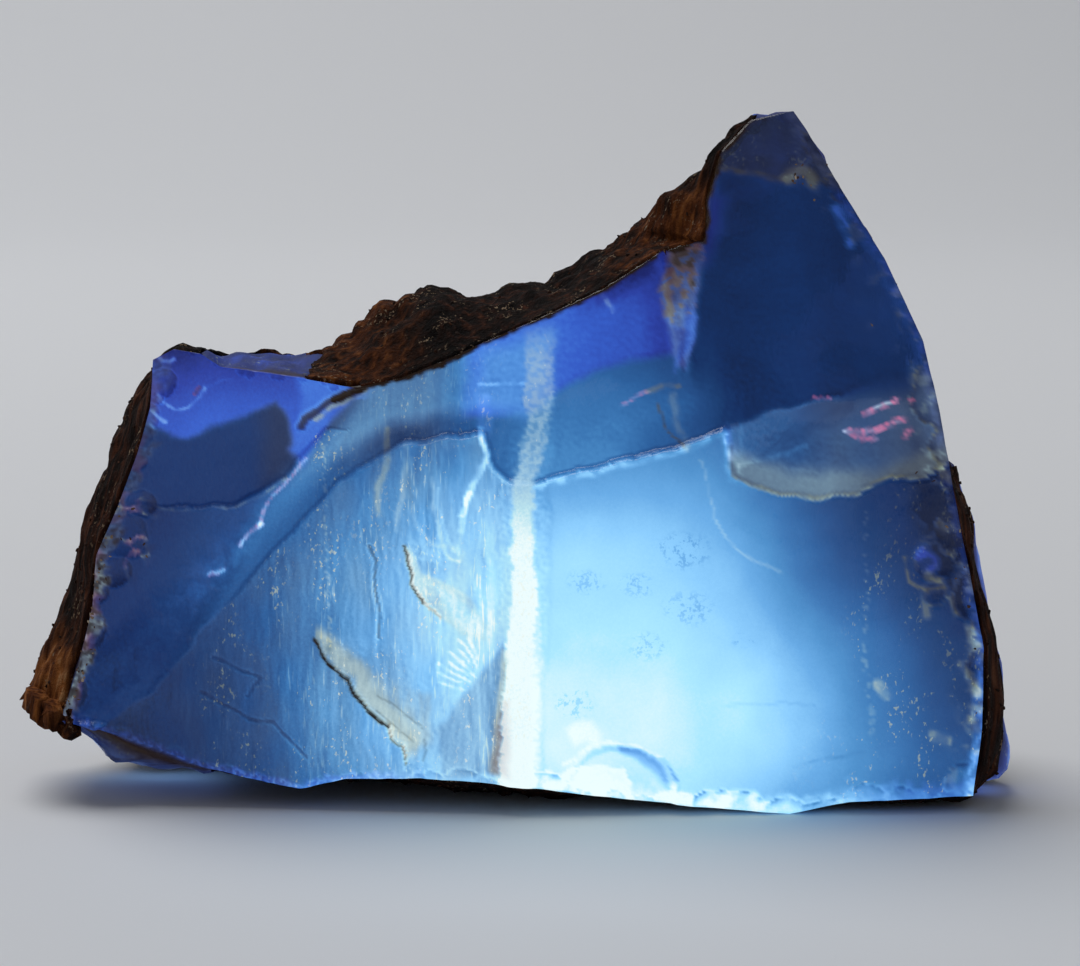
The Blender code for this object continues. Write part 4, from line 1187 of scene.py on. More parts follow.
veined, crust = paint_left_rim(paint, front_x, front_z)
paint_top_rim(paint, front_x, front_z)
paint["crumbs"] = 0.25 * veined + 0.40 * crust * ramp(front_z, 26, 22)
paint["crumbs"] += 0.12 * crumbs + 0.3 * spot(front_x, front_z, CRUMBS_ON_CAP, 2.0, 0.6)
print("share of the fracture under crust:", round(float(crust[on_front].mean()), 3))

# %% [markdown]
# The last channels tell the material where to put its own fine patterns: brushed streaks and
# grit on the rough face, grit along two dotted seams, and dull smudges on the window.

# %% Dotted seams, grit and smudges
DOTTED_SEAMS = [[(32, 29.3), (32.1, 20.5), (32.1, 14.7), (33, 7.8)],
                [(-18.3, 35.2), (-18, 27.7), (-17.7, 16.3)]]
# Smudges on the window: the middle (x, z) and the reach.
SMUDGES = [(6.2, 22.2, 2.2), (15.1, 25.2, 3.2), (15.6, 19.8, 3.0), (12, 16.3, 2.4),
           (20.8, 16.8, 1.3), (5.2, 10.8, 2.4), (11, 22, 2.2)]


def paint_seams(paint, x, z):
    """Two faint seams of dots that run up the stone, with grit around them."""
    for line in DOTTED_SEAMS:
        away = distance_to(line, x, z)
        dots = ramp(away, 0.34, 0.10) * ramp(noise_at(x, 0, z, 2.4, 41), 0, 0.2)
        lift(paint, dots, warm=0.3, glow=0.10)
        paint["grit"] = np.maximum(paint["grit"], 0.9 * ramp(away, 1.4, 0.2))


def paint_grit(paint, x, z, part, ridge):
    """Brushed bands on the rough face and inside the arc, grit there and on the window."""
    proud = 1 - part["set_back"]
    bands = noise_at(x, 0, z, (0.42, 1, 0.05), 43) + 0.4 * patchy
    rough = proud * ramp(x, -0.5, -2.5) * ramp(x, -38, -18) * (1 - 0.7 * ridge)
    rough *= 0.20 + 0.8 * ramp(bands, -0.15, 0.3)
    inner = part["inner"] * ramp(x, -24, -17) * ramp(x, 0, -4) * part["set_back"]
    low_window = ramp(z, 16, 8) * ramp(x, 8, 20)
    paint["brushed"] = rough + 0.4 * inner
    paint["grit"] += rough + 0.28 * inner + proud * (0.32 * ramp(x, 27, 34) + 0.12 * low_window)


paint_seams(paint, front_x, front_z)
paint_grit(paint, front_x, front_z, part, ridge)
paint["smudge"] = np.max([ramp(np.hypot(front_x - at_x, (front_z - at_z) / 0.7), reach, 0.4 * reach)
                          for at_x, at_z, reach in SMUDGES], axis=0)
print(len(DOTTED_SEAMS), "dotted seams and", len(SMUDGES), "smudges")

# %% [markdown]
# Off the fracture the amber is mostly hidden. It is dark under the rind and glows faintly where
# rind is missing, brightest where the stone is widest, so that its outline shines.

# %% Sides, back and the stored channels
def paint_outside(paint, share, points, sliced):
    """The sides and the back: dark under the rind, faintly glowing where the amber is bare."""
    x, y, z = points.T
    a, b, c = share.T
    fine = noise_at(x, y, z, 1.1, 91)
    broken = broken_off(points, sliced)[0]
    bare = np.maximum(1 - rind_cover(share, x), broken)
    silhouette = ramp(np.abs(b - 0.37), 0.10, 0.05) * (0.7 + 0.5 * fine)
    on_top, below, right = c > 1 - HAIR, c < HAIR, a > 1 - HAIR
    lump, under = on_top & (x < -18), below & (x < -27)
    coarse = noise_at(x, y, z, (0.8, 0.8, 0.25), 95)
    glow = mix(0.05 + 0.05 * ramp(fine, 0, 0.4), 0.46, silhouette * bare)
    brown = mix(0.9, 0.15 + 0.3 * ramp(fine, 0, -0.3), bare) * (1 - 0.8 * silhouette * bare)
    brown = np.where(on_top & (x < 20) & (b < 0.05), 0.95, brown)
    glow += bare * right * (0.10 + 0.12 * coarse) + broken * (0.07 + 0.10 * coarse)
    glow = np.where(lump, mix(0.05, 0.14 + 0.25 * coarse + 0.10 * fine, bare), glow)
    brown = np.where(lump, mix(0.9, 0.85 * ramp(b, 0.13, 0.06), bare), brown)
    glow = np.where(under, 0.12 + 0.10 * ramp(b, 0.15, 0.30) + 0.40 * ramp(b, 0.33, 0.41)
                    + 0.14 * fine + 0.10 * coarse, glow)
    brown = np.where(under, mix(1.0, 0.4 * ramp(fine, -0.1, -0.35), ramp(b, 0.10, 0.13)), brown)
    values = {"glow": glow, "brown": brown, "violet": np.where(under, 0.45, 0.85 * bare),
              "warm": np.where(under, 0.35, 0.25 * right), "frost": np.where(under, 0.3, 1.0),
              "grit": np.where(under, 0.3, 1.0)}
    for name in paint:
        paint[name] = np.where(on_front, paint[name], values.get(name, 0.0))


paint_outside(paint, share, points, sliced)
for name, values in paint.items():
    layer = body_mesh.attributes.new(name, "FLOAT", "POINT")
    layer.data.foreach_set("value", np.clip(values, 0, 1).astype(np.float32))
print("channels:", ", ".join(sorted(paint)))

# %% [markdown]
# With its channels stored, the body can be cut flat. A bisect carries the channels along, the
# crumbs are dropped, and the open base is filled, so the amber stays one closed solid that a
# ray can enter and leave.

# %% Cut the base and close the body
def main_piece_only(bm):
    """Deletes every face that can't be reached from the topmost one across shared edges."""
    top = max(bm.verts, key=lambda v: v.co.z)
    found, queue = set(), [top.link_faces[0]]
    while queue:
        current = queue.pop()
        if current in found:
            continue
        found.add(current)
        queue.extend(f for e in current.edges for f in e.link_faces if f not in found)
    lost = [f for f in bm.faces if f not in found]
    bmesh.ops.delete(bm, geom=lost, context="FACES")


def cut_flat(mesh, fill):
    """Cuts at the floor and turns mm into metres; with fill, keeps the main piece and closes it."""
    bm = bmesh.new()
    bm.from_mesh(mesh)
    geometry = bm.verts[:] + bm.edges[:] + bm.faces[:]
    bmesh.ops.bisect_plane(bm, geom=geometry, plane_co=(0, 0, 0), plane_no=(0, 0, 1),
                           clear_inner=True, dist=1e-5)
    if fill:
        main_piece_only(bm)
        bmesh.ops.holes_fill(bm, edges=[e for e in bm.edges if e.is_boundary])
        bmesh.ops.triangulate(bm, faces=[f for f in bm.faces if len(f.verts) > 4])
        bmesh.ops.recalc_face_normals(bm, faces=bm.faces)
    for vert in bm.verts:
        vert.co = (vert.co - Vector(ORIGIN)) * MM
    bm.to_mesh(mesh)
    bm.free()


def shown(mesh):
    """An object for the mesh, smooth, at the origin of the scene."""
    mesh.shade_smooth()
    obj = bpy.data.objects.new(mesh.name, mesh)
    bpy.context.scene.collection.objects.link(obj)
    return obj


cut_flat(body_mesh, fill=True)
amber = shown(body_mesh)
print("amber body:", len(amber.data.polygons), "faces")

# %% [markdown]
# Materials come next. Every colour below is written the way a screen shows it and turned into
# the linear value that Blender mixes. Small helpers add a node with its settings and chain
# sums, so that each material reads as a short list of what it does.

# %% Colours and nodes
def linear(red, green, blue):
    """A display colour, 0 to 255, as the linear colour that a node takes."""
    shown_as = np.array((red, green, blue)) / 255
    low = shown_as / 12.92
    high = ((shown_as + 0.055) / 1.055) ** 2.4
    return (*np.where(shown_as <= 0.04045, low, high).tolist(), 1.0)


def connect(tree, inputs, settings):
    """Gives each named input a value, or links a socket to it."""
    for name, value in settings.items():
        if isinstance(value, bpy.types.NodeSocket):
            tree.links.new(value, inputs[name])
        else:
            inputs[name].default_value = value


def add(tree, kind, inputs=None, **settings):
    """A node of this kind. Inputs are values or sockets to link; settings are its properties."""
    node = tree.nodes.new(kind)
    for name, value in settings.items():
        setattr(node, name, value)
    connect(tree, node.inputs, inputs or {})
    return node


print("a blue of the glow:", [round(v, 3) for v in linear(58, 108, 168)])

# %% Sums, ramps and a new material
def calc(tree, operation, first, second=0.0, third=0.0, clamp=False):
    """One sum. MULTIPLY_ADD is the first times the second, plus the third."""
    node = add(tree, "ShaderNodeMath", {0: first, 1: second, 2: third}, operation=operation,
               use_clamp=clamp)
    return node.outputs[0]


def colour_ramp(tree, factor, stops):
    """A ColorRamp whose stops are place: display colour."""
    node = add(tree, "ShaderNodeValToRGB", {"Fac": factor})
    elements = node.color_ramp.elements
    while len(elements) < len(stops):
        elements.new(0.5)
    for element, place in zip(elements, stops):
        element.position = place
    for element, colour in zip(elements, stops.values()):
        element.color = linear(*colour)
    return node.outputs["Color"]


def blend_colours(tree, factor, first, second):
    node = add(tree, "ShaderNodeMix", {0: factor, 6: first, 7: second}, data_type="RGBA")
    return node.outputs[2]


def between(tree, value, low, high, to_low=0.0, to_high=1.0):
    """A smooth rise from one value to another while the input goes from low to high."""
    node = add(tree, "ShaderNodeMapRange", {"Value": value, "From Min": low, "From Max": high,
                                            "To Min": to_low, "To Max": to_high},
               interpolation_type="SMOOTHSTEP")
    return node.outputs["Result"]


def channel(tree, name):
    return add(tree, "ShaderNodeAttribute", attribute_name=name).outputs["Fac"]


def new_material(name):
    """A material with only a Principled BSDF and an output, and the inputs of both."""
    material = bpy.data.materials.new(name)
    material.use_nodes = True
    tree = material.node_tree
    tree.nodes.clear()
    shader = tree.nodes.new("ShaderNodeBsdfPrincipled")
    output = tree.nodes.new("ShaderNodeOutputMaterial")
    tree.links.new(shader.outputs[0], output.inputs["Surface"])
    return material, tree, shader.inputs, output.inputs


def dress(piece, material):
    piece.data.materials.clear()
    piece.data.materials.append(material)


print("a sum, a smooth rise and a blend of colours each take one call now")

# %% [markdown]
# Three patterns are shared: fibres that run up the stone, specks scattered at random, and soft
# mottling. Each is a node group that reads places in millimetres and is built once. Its Scale
# input makes the pattern finer or coarser in one material without touching the others.

# %% A group and the noise in it
def pattern_group(name, outputs):
    """An empty group with a Scale input and these outputs."""
    tree = bpy.data.node_groups.new(name, "ShaderNodeTree")
    scale = tree.interface.new_socket("Scale", in_out="INPUT", socket_type="NodeSocketFloat")
    scale.default_value = 1.0
    for output in outputs:
        tree.interface.new_socket(output, in_out="OUTPUT", socket_type="NodeSocketFloat")
    tree.nodes.new("NodeGroupInput")
    return tree, tree.nodes.new("NodeGroupOutput")


def place_node(tree, scale, shift=(0, 0, 0)):
    """The object's own coordinates, scaled per millimetre and, in a group, by its Scale."""
    place = add(tree, "ShaderNodeTexCoord").outputs["Object"]
    for node in [n for n in tree.nodes if n.bl_idname == "NodeGroupInput"]:
        place = add(tree, "ShaderNodeVectorMath", {0: place, "Scale": node.outputs["Scale"]},
                    operation="SCALE").outputs[0]
    mapped = add(tree, "ShaderNodeMapping", {"Vector": place, "Location": shift,
                                             "Scale": [s / MM for s in scale]})
    return mapped.outputs[0]


def noise_node(tree, scale, detail=2.0, roughness=0.55, shift=(0, 0, 0)):
    """Noise, 0 to 1, with its scale per millimetre along x, y and z."""
    node = add(tree, "ShaderNodeTexNoise", {"Vector": place_node(tree, scale, shift), "Scale": 1.0,
                                            "Detail": detail, "Roughness": roughness})
    return node.outputs["Fac"]


print("patterns are laid at", 1 / MM, "per metre, so their scales read per millimetre")

# %% Fibres, specks and mottle
def fibres_group():
    """Fibres that run up the stone, and finer scratches beside them."""
    tree, out = pattern_group("Fibres", ("Fibre", "Scratch"))
    tree.links.new(noise_node(tree, (1.1, 1.1, 0.14), 2), out.inputs["Fibre"])
    scratch = noise_node(tree, (4.2, 4.2, 0.5), 1, shift=(7, 0, 0))
    tree.links.new(between(tree, scratch, 0.57, 0.73), out.inputs["Scratch"])
    return tree


def specks_group():
    """Specks: the peaks of a fine noise, more of them where a broad noise is high."""
    tree, out = pattern_group("Specks", ("Speck", "Cluster"))
    cluster = noise_node(tree, (0.45, 0.45, 0.16), 1, shift=(3, 5, 1))
    peaks = noise_node(tree, (3.1, 3.1, 2.0), 2, 0.6, shift=(5, 1, 8))
    limit = between(tree, cluster, 0.35, 0.65, 0.72, 0.58)
    over = calc(tree, "SUBTRACT", peaks, limit)
    tree.links.new(between(tree, over, 0.0, 0.08), out.inputs["Speck"])
    tree.links.new(cluster, out.inputs["Cluster"])
    return tree


def mottle_group():
    """Mottle: broad clouds and a fine grain."""
    tree, out = pattern_group("Mottle", ("Broad", "Grain"))
    tree.links.new(noise_node(tree, (0.16, 0.16, 0.14), 2, 0.6), out.inputs["Broad"])
    tree.links.new(noise_node(tree, (4.0, 4.0, 4.0), 2, 0.7, shift=(2, 9, 4)), out.inputs["Grain"])
    return tree


GROUPS = {"Fibres": fibres_group(), "Specks": specks_group(), "Mottle": mottle_group()}


def pattern(tree, name, scale=1.0):
    """The outputs of a shared pattern, placed in a material at this scale."""
    node = add(tree, "ShaderNodeGroup", node_tree=GROUPS[name])
    node.inputs["Scale"].default_value = scale
    return node.outputs


print("shared patterns:", ", ".join(GROUPS))

# %% [markdown]
# The amber mixes three families of colour by its painted channels: blue to white for the glow,
# violet where old resin scatters it, and olive to tan for thin or weathered parts. It is a
# see-through solid of refractive index 1.54 that swallows blue light on a long way through it,
# which is why the same stone looks like honey when a plain lamp shines through it.

# %% Colours of the amber
BLUE = {0: (3, 14, 46), .1: (9, 40, 90), .2: (18, 55, 106), .3: (30, 72, 128),
        .4: (40, 93, 153), .5: (56, 116, 177), .6: (76, 143, 202), .7: (102, 170, 228),
        .8: (138, 204, 252), .9: (170, 231, 254), 1: (236, 253, 255)}
VIOLET = {.0: (8, 10, 60), .2: (20, 28, 100), .35: (38, 58, 156), .5: (50, 90, 196),
          .65: (70, 125, 224), .8: (90, 150, 245), 1: (150, 205, 255)}
WARM = {0: (20, 18, 26), .2: (56, 56, 58), .4: (92, 98, 92), .6: (134, 150, 140),
        .8: (182, 194, 178), 1: (232, 238, 224)}


PINK_GLEAM, OLD_DIRT = linear(232, 120, 160), linear(16, 8, 4)
DEEP_BLUE, DARK_BROWN = (0.012, 0.035, 0.10, 1), (0.050, 0.025, 0.013, 1)
HONEY, HONEY_DENSITY = (0.72, 0.42, 0.16, 1), 60.0
AMBER_INDEX, SEE_THROUGH, SHEEN = 1.54, 0.55, 0.16
print("stops in the blue, violet and warm ramps:", len(BLUE), len(VIOLET), len(WARM))

# %% Glow with its fine patterns
def fine_glow(tree, fibres, mottle):
    """The painted glow with clouds, grain, brushed streaks and smudges laid over it."""
    grain = between(tree, mottle["Grain"], 0.25, 0.75, -1.0, 1.0)
    clouds = between(tree, mottle["Broad"], 0.25, 0.75, -0.012, 0.012)
    coarse = between(tree, fibres["Fibre"], 0.3, 0.7, -0.05, 0.05)
    brushed = channel(tree, "brushed")
    streak = calc(tree, "MULTIPLY", fibres["Scratch"], brushed)
    worn = noise_node(tree, (1.7, 1.7, 1.7), 2, 0.8, shift=(4, 4, 1))
    smudge = calc(tree, "MULTIPLY", channel(tree, "smudge"), between(tree, worn, 0.50, 0.66))
    grain_amount = calc(tree, "MULTIPLY_ADD", channel(tree, "frost"), 0.025, 0.006)
    glow = calc(tree, "ADD", channel(tree, "glow"), clouds)
    for pattern_value, amount in ((grain, grain_amount), (coarse, brushed), (streak, 0.10),
                                  (smudge, -0.09)):
        glow = calc(tree, "MULTIPLY_ADD", pattern_value, amount, glow)
    return glow, streak


def amber_colour(tree, glow, streak, speck):
    """Blue, violet or warm by the painted channels, then specks, gleams and dirt."""
    warm = calc(tree, "MULTIPLY_ADD", streak, 0.25, channel(tree, "warm"), clamp=True)
    bright = calc(tree, "ADD", glow, 0.26)
    colour = colour_ramp(tree, glow, BLUE)
    for share, over in ((channel(tree, "violet"), colour_ramp(tree, glow, VIOLET)),
                        (warm, colour_ramp(tree, glow, WARM)),
                        (calc(tree, "MULTIPLY", speck, 0.65), colour_ramp(tree, bright, WARM)),
                        (channel(tree, "pink"), PINK_GLEAM),
                        (channel(tree, "brown"), OLD_DIRT)):
        colour = blend_colours(tree, share, colour, over)
    return colour


print("fine patterns over the glow: grain, clouds, fibres, streaks and smudges")

# %% Amber material
def amber_material():
    """Glowing, see-through amber, glassy where it is clean and rough where it is gritty."""
    material, tree, shader, output = new_material("Blue amber")
    fibres, specks, mottle = (pattern(tree, name) for name in GROUPS)
    grit = channel(tree, "grit")
    glow, streak = fine_glow(tree, fibres, mottle)
    speck = calc(tree, "MULTIPLY", specks["Speck"], between(tree, grit, 0.05, 0.5))
    rough = calc(tree, "MULTIPLY_ADD", grit, 0.28, 0.14)
    rough = calc(tree, "MULTIPLY_ADD", channel(tree, "frost"), 0.30, rough, clamp=True)
    bump = add(tree, "ShaderNodeBump", {"Height": noise_node(tree, (2.6, 2.6, 0.9), 1),
                                        "Strength": 0.35, "Distance": 0.2 * MM})
    absorb = add(tree, "ShaderNodeVolumeAbsorption", {"Color": HONEY, "Density": HONEY_DENSITY})
    connect(tree, output, {"Volume": absorb.outputs[0]})
    connect(tree, shader, {
        "Base Color": blend_colours(tree, channel(tree, "brown"), DEEP_BLUE, DARK_BROWN),
        "Emission Color": amber_colour(tree, glow, streak, speck), "Emission Strength": 1.0,
        "Transmission Weight": SEE_THROUGH, "IOR": AMBER_INDEX, "Specular IOR Level": SHEEN,
        "Roughness": rough, "Normal": bump.outputs[0]})
    material.cycles.emission_sampling = "NONE"
    return material


dress(amber, amber_material())
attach(amber, "root")
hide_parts("rough_amber")
print("nodes in the amber's material:", len(amber.data.materials[0].node_tree.nodes))

# %% [markdown]
# The rind is the old outside of the nugget: a brown crust with fibres like bark. It is moulded
# from the same outlines as the amber, without the front, then given thickness inwards so that it
# wraps the amber. Where a break or a chip sliced the stone, the crust is missing.

# %% Mould the rind
RIND_CELLS = (170, 60, 96)
RIND_WALL = 1.0 * MM
# Rusty places on the rind: the middle (x, z), how far they reach and their core.
RUST = [((-17, 44), 9, 1), ((14.5, 54), 9, 2), ((-46, 10), 8, 2)]


def rind_channels(points, share, sliced, on_top):
    """Where the crust is missing, rusty, splintery or on top (painted shade), one number per
    vertex.
    """
    x, z = points[:, 0], points[:, 2]
    b, upper = share[:, 1], share[:, 2] > 1 - HAIR
    broken, patchy = broken_off(points, sliced)
    missing = ramp(rind_cover(share, x) + 0.25 * patchy, 0.55, 0.45) * (b > 0.03)
    edge = b < np.where(on_top, 0.015, 0.035)
    rust = [ramp(np.hypot(x - at[0], z - at[1]) + 4 * patchy, far, core) for at, far, core in RUST]
    return {"bare": np.max([broken, edge, missing], axis=0), "front": b < HAIR / 10,
            "rust": np.max(rust, axis=0), "bark": ramp(b, 0.03, 0.06) * (1 - 0.7 * upper),
            "top": ramp(z, 30, 44) * upper}


def rind_mesh():
    """The stone's outside once more, with ridges of bark and a lip over the upper rim."""
    mesh, points, share, sliced = moulded_mesh("weathered_rind", RIND_CELLS, 0)
    x, y, z = points.T
    mesh.update()
    normals = read_vectors(mesh.vertex_normals, "vector", len(points))
    bark = noise_at(x, y, z, (1.1, 1.1, 0.16), 61) + 0.6 * noise_at(x, y, z, (2.4, 2.4, 0.5), 63)
    on_top = (share[:, 2] > 1 - HAIR) & (x > -15) & (x < 19)
    lip = 0.18 * on_top * ramp(share[:, 1], 0.03, 0)
    points += normals * (0.20 * bark * ramp(share[:, 1], 0, 0.02) + lip)[:, None]
    mesh.vertices.foreach_set("co", points.ravel())
    for name, value in rind_channels(points, share, sliced, on_top).items():
        layer = mesh.attributes.new(name, "FLOAT", "POINT")
        layer.data.foreach_set("value", np.asarray(value, np.float32))
    return mesh


crust_mesh = rind_mesh()
print("crust before it is stripped:", len(crust_mesh.polygons), "faces")

# %% Strip the bare places and give the rind its wall
def stripped(mesh):
    """Deletes the crust's front and the faces where the amber is bare; smooths the new edges."""
    bm = bmesh.new()
    bm.from_mesh(mesh)
    front, bare = bm.verts.layers.float["front"], bm.verts.layers.float["bare"]
    lost = [f for f in bm.faces
            if all(v[front] > 0.5 for v in f.verts)
            or sum(v[bare] for v in f.verts) > 0.5 * len(f.verts)]
    bmesh.ops.delete(bm, geom=lost, context="FACES")
    bmesh.ops.smooth_vert(bm, verts=[v for v in bm.verts if v.is_boundary], factor=0.5,
                          use_axis_x=True, use_axis_y=True, use_axis_z=True)
    bm.to_mesh(mesh)
    bm.free()


stripped(crust_mesh)
cut_flat(crust_mesh, fill=False)
rind = shown(crust_mesh)
wall = rind.modifiers.new("thickness", "SOLIDIFY")
wall.thickness, wall.offset = RIND_WALL, -1
bpy.context.view_layer.update()
solid = bpy.data.meshes.new_from_object(rind.evaluated_get(bpy.context.evaluated_depsgraph_get()))
rind.modifiers.clear()
rind.data = solid
print("rind:", len(solid.polygons), "faces")

# %% [markdown]
# Old rind is nearly black, with brown along its fibres, rust where it is damp and pale crumbs in
# its pits. It is dull, so it gets almost no sheen. The tone follows the shared fibres and is
# painted darker on top, as shade, and the same fibres lift the surface a little as bump.

# %% Rind material
BARK = {.38: (10, 6, 5), .52: (26, 14, 10), .62: (48, 25, 16), .74: (80, 45, 29),
        .90: (116, 78, 56)}
RUSTY = {.38: (34, 16, 8), .55: (84, 42, 16), .72: (140, 84, 40), .88: (176, 134, 92)}
PALE_CRUMB = linear(150, 128, 104)


def rind_material():
    """Dull, fibrous bark with rust and pale crumbs."""
    material, tree, shader, _ = new_material("Weathered rind")
    fibres, specks, mottle = (pattern(tree, name) for name in GROUPS)
    tone = calc(tree, "MULTIPLY_ADD", fibres["Fibre"], 0.8,
                calc(tree, "MULTIPLY", mottle["Broad"], 0.4))
    # Painted shade: the rind is made darker on top.
    tone = calc(tree, "MULTIPLY_ADD", channel(tree, "top"), -0.10, tone)
    colour = blend_colours(tree, channel(tree, "rust"), colour_ramp(tree, tone, BARK),
                           colour_ramp(tree, tone, RUSTY))
    crumb = calc(tree, "MULTIPLY", specks["Speck"], between(tree, specks["Cluster"], 0.5, 0.7))
    height = calc(tree, "MULTIPLY_ADD", mottle["Grain"], 0.4, fibres["Fibre"])
    bump = add(tree, "ShaderNodeBump", {"Height": height, "Strength": 0.9, "Distance": 0.6 * MM})
    connect(tree, shader, {
        "Base Color": blend_colours(tree, crumb, colour, PALE_CRUMB),
        "Roughness": between(tree, mottle["Grain"], 0.2, 0.8, 0.7, 0.95),
        "Specular IOR Level": 0.08, "Normal": bump.outputs[0]})
    return material


dress(rind, rind_material())
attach(rind, "root")
print("nodes in the rind's material:", len(rind.data.materials[0].node_tree.nodes))

# %% [markdown]
# Loose grains cling to the broken borders and to the cap of the spire, and splinters stand up
# from the bark-like rind. One Geometry Nodes tree scatters both: it drops points where a stored
# mask is high, puts a rough little stone on each, and turns and stretches it at random.

# %% One rough grain
def shifted(tree, vector, operation, amount):
    """A vector with an amount added, subtracted or scaled in."""
    second = "Scale" if operation == "SCALE" else 1
    return add(tree, "ShaderNodeVectorMath", {0: vector, second: amount},
               operation=operation).outputs[0]


def rough_grain(tree, detail):
    """A ball of one millimetre's radius, knocked out of round by noise."""
    ball = add(tree, "GeometryNodeMeshIcoSphere", {"Radius": 1.0, "Subdivisions": detail})
    knock = add(tree, "ShaderNodeTexNoise", {"Scale": 1.3, "Detail": 2.0}).outputs["Color"]
    knock = shifted(tree, shifted(tree, knock, "SUBTRACT", (0.5, 0.5, 0.5)), "SCALE", 2.2)
    return add(tree, "GeometryNodeSetPosition", {"Geometry": ball.outputs["Mesh"],
                                                 "Offset": knock}).outputs[0]


print("a grain of detail 1 is a ball of 20 faces before noise knocks it out of round")

# %% Scatter grains with Geometry Nodes
SOCKETS = {"Geometry": "Geometry", "Mask": "String", "Per Square Metre": "Float",
           "Smallest": "Vector", "Largest": "Vector", "Tumble": "Float", "Seed": "Int",
           "Detail": "Int", "Material": "Material"}


def scatter_tree():
    """Scatters rough grains over a mesh, most of them where a named mask is 1."""
    tree = bpy.data.node_groups.new("Scatter grains", "GeometryNodeTree")
    for name, kind in SOCKETS.items():
        tree.interface.new_socket(name, in_out="INPUT", socket_type="NodeSocket" + kind)
    tree.interface.new_socket("Geometry", in_out="OUTPUT", socket_type="NodeSocketGeometry")
    given = tree.nodes.new("NodeGroupInput").outputs
    out = tree.nodes.new("NodeGroupOutput")
    mask = add(tree, "GeometryNodeInputNamedAttribute", {"Name": given["Mask"]},
               data_type="FLOAT").outputs["Attribute"]
    spots = add(tree, "GeometryNodeDistributePointsOnFaces",
                {"Mesh": given["Geometry"], "Seed": given["Seed"],
                 "Density": calc(tree, "MULTIPLY", mask, given["Per Square Metre"])},
                distribute_method="RANDOM").outputs["Points"]
    turn = add(tree, "FunctionNodeRandomValue", {0: (-1, -1, -1), 1: (1, 1, 1), "Seed": 11},
               data_type="FLOAT_VECTOR").outputs[0]
    size = add(tree, "FunctionNodeRandomValue", {0: given["Smallest"], 1: given["Largest"],
                                                 "Seed": 12}, data_type="FLOAT_VECTOR").outputs[0]
    tone = add(tree, "FunctionNodeRandomValue", {2: 0.0, 3: 1.0, "Seed": 13},
               data_type="FLOAT").outputs[1]
    grains = add(tree, "GeometryNodeInstanceOnPoints",
                 {"Points": spots, "Instance": rough_grain(tree, given["Detail"]), "Scale": size,
                  "Rotation": shifted(tree, turn, "SCALE", given["Tumble"])})
    toned = add(tree, "GeometryNodeStoreNamedAttribute",
                {"Geometry": grains.outputs[0], "Name": "tone", "Value": tone},
                data_type="FLOAT", domain="INSTANCE")
    real = add(tree, "GeometryNodeRealizeInstances", {"Geometry": toned.outputs[0]})
    painted = add(tree, "GeometryNodeSetMaterial", {"Geometry": real.outputs[0],
                                                    "Material": given["Material"]})
    tree.links.new(painted.outputs[0], out.inputs["Geometry"])
    return tree


SCATTER = scatter_tree()
print("nodes in the scatter:", len(SCATTER.nodes))

# %% Turn scattered grains into a piece
def scattered(name, mesh, **settings):
    """The grains alone, as a piece of their own. Sizes are in metres."""
    obj = bpy.data.objects.new(name, mesh)
    bpy.context.scene.collection.objects.link(obj)
    modifier = obj.modifiers.new("scatter", "NODES")
    modifier.node_group = SCATTER
    sockets = {s.name: s.identifier for s in SCATTER.interface.items_tree if s.in_out == "INPUT"}
    for key, value in settings.items():
        modifier[sockets[key.replace("_", " ")]] = value
    bpy.context.view_layer.update()
    graph = bpy.context.evaluated_depsgraph_get()
    grains = bpy.data.meshes.new_from_object(obj.evaluated_get(graph))
    obj.modifiers.clear()
    obj.data = grains
    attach(obj, "root")
    print(name, "has", len(grains.polygons), "faces")


def grain_material(name, stops, emission):
    """Matt grains, each of its own tone, that may glow faintly."""
    material, tree, shader, _ = new_material(name)
    colour = colour_ramp(tree, channel(tree, "tone"), stops)
    connect(tree, shader, {"Base Color": colour, "Emission Color": colour,
                           "Emission Strength": emission, "Roughness": 0.75,
                           "Specular IOR Level": 0.12})
    material.cycles.emission_sampling = "NONE"
    return material

# %% Crumbs and splinters
CRUMB_TONES = {0: (44, 30, 28), .5: (84, 64, 54), .9: (124, 106, 90), 1: (170, 156, 138)}
SPLINTER_TONES = {0: (30, 18, 13), .7: (58, 35, 25), 1: (88, 56, 40)}
scattered("border_crumbs", amber.data, Mask="crumbs", Per_Square_Metre=5.0e6,
          Smallest=(0.00005, 0.00004, 0.00005), Largest=(0.00022, 0.00016, 0.00024),
          Tumble=3.14, Seed=4, Detail=1, Material=grain_material("Crumbs", CRUMB_TONES, 0.25))
scattered("rind_splinters", crust_mesh, Mask="bark", Per_Square_Metre=1.6e5,
          Smallest=(0.00008, 0.00008, 0.00008), Largest=(0.00026, 0.00026, 0.00028),
          Tumble=3.14, Seed=9, Detail=1,
          Material=grain_material("Splinters", SPLINTER_TONES, 0.0))

# %% [markdown]
# The floor is plain and pale. It could be one flat plane, but then its far edge would show as a
# horizon, so it bends up behind the stone in a smooth sweep.

# %% Floor
FLOOR_REACH, BEND_FROM, BEND_RADIUS, WALL_TOP = 3.0, 0.9, 0.8, 3.0    # metres
PALE = (0.82, 0.83, 0.85, 1)


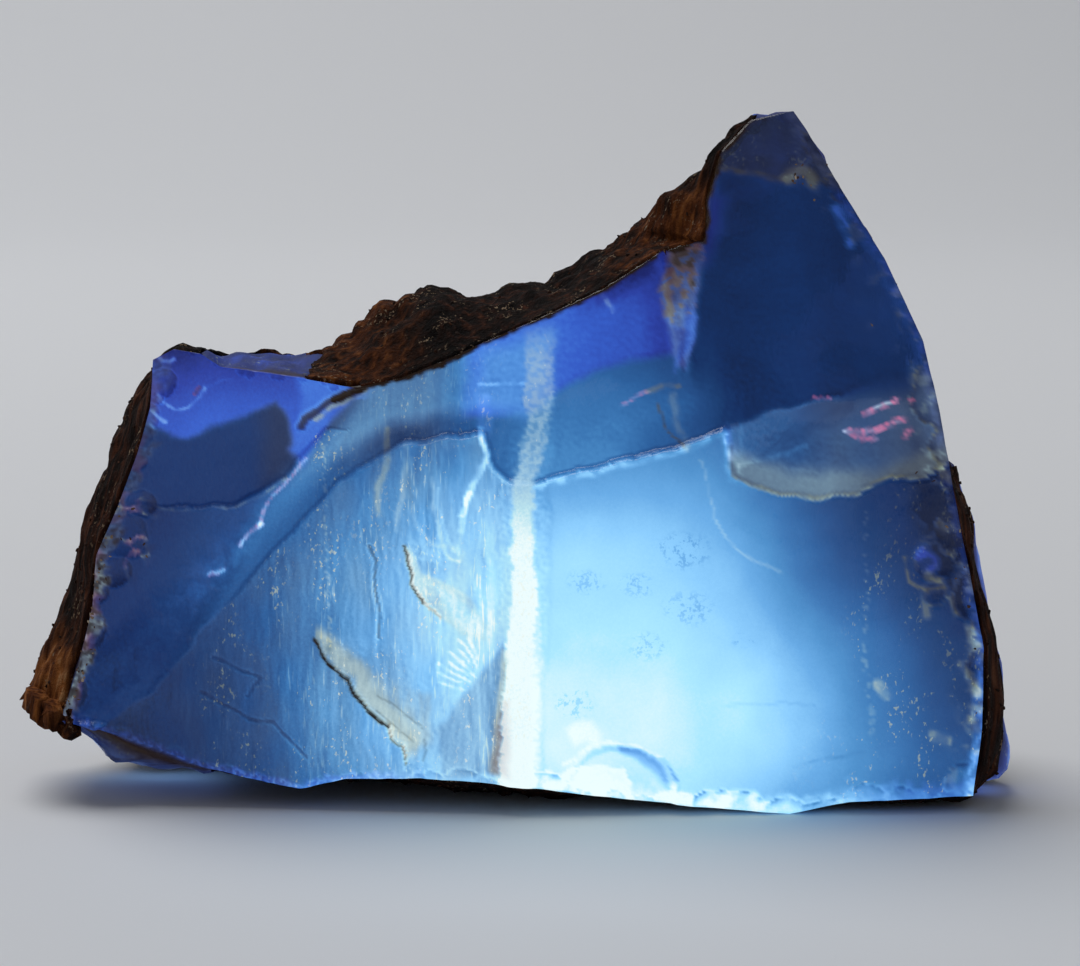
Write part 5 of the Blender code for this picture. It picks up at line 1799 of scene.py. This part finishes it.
def pale_floor():
    """A floor that sweeps up far behind the stone, so that no horizon shows."""
    bm = bmesh.new()
    turn = [math.radians(a) for a in range(0, 91, 6)]
    line = [(-FLOOR_REACH, 0)]
    line += [(BEND_FROM + BEND_RADIUS * math.sin(a), BEND_RADIUS * (1 - math.cos(a)))
             for a in turn]
    line.append((BEND_FROM + BEND_RADIUS, WALL_TOP))
    rows = [[bm.verts.new((side * FLOOR_REACH, y, z)) for side in (-1, 1)] for y, z in line]
    for low, high in zip(rows, rows[1:]):
        bm.faces.new((low[0], low[1], high[1], high[0]))
    mesh = bpy.data.meshes.new("floor")
    bm.to_mesh(mesh)
    bm.free()
    material, tree, shader, _ = new_material("Pale floor")
    connect(tree, shader, {"Base Color": PALE, "Roughness": 0.8, "Specular IOR Level": 0.2})
    mesh.materials.append(material)
    shown(mesh)
    return len(rows)


print("rows in the floor:", pale_floor())

# %% [markdown]
# One soft lamp hangs above and a little behind, and a dim grey world fills the rest: the stone
# should glow by itself and only borrow a little sheen.

# %% Light
LAMP_PLACE, LAMP_AIM, LAMP_SIZE, LAMP_POWER = (-0.5, 0.5, 1.6), (0, 0.1, 0), 1.4, 17.0
WORLD_GREY, WORLD_STRENGTH = (0.62, 0.64, 0.68, 1), 0.25
scene = bpy.context.scene


def aimed(place, aim):
    """The turn that makes a lamp or a camera at this place look at the aim."""
    return (Vector(aim) - Vector(place)).to_track_quat("-Z", "Y").to_euler()


lamp_data = bpy.data.lights.new("soft_top", "AREA")
lamp_data.shape, lamp_data.size, lamp_data.energy = "DISK", LAMP_SIZE, LAMP_POWER
soft_top = bpy.data.objects.new("soft_top", lamp_data)
soft_top.location, soft_top.rotation_euler = LAMP_PLACE, aimed(LAMP_PLACE, LAMP_AIM)
scene.collection.objects.link(soft_top)
scene.world = bpy.data.worlds.new("studio")
scene.world.use_nodes = True
background = scene.world.node_tree.nodes["Background"].inputs
background["Color"].default_value = WORLD_GREY
background["Strength"].default_value = WORLD_STRENGTH
scene.view_settings.view_transform = "Standard"
scene.cycles.max_bounces, scene.cycles.transmission_bounces = 6, 4
print("lamp of", LAMP_POWER, "W and a world at", WORLD_STRENGTH)

# %% [markdown]
# A long lens keeps the stone's outline true. The camera looks down by eight degrees, straight at
# the fracture.

# %% Camera
CAMERA_PLACE, CAMERA_AIM = (0.00217, -0.29234, 0.06990), (0.00217, -0.01952, 0.03156)
camera_data = bpy.data.cameras.new("camera")
camera_data.lens, camera_data.sensor_width = 100, 36
camera = bpy.data.objects.new("camera", camera_data)
camera.location, camera.rotation_euler = CAMERA_PLACE, aimed(CAMERA_PLACE, CAMERA_AIM)
scene.collection.objects.link(camera)
scene.camera = camera
print("camera", round((Vector(CAMERA_AIM) - Vector(CAMERA_PLACE)).length, 3), "m from its aim")
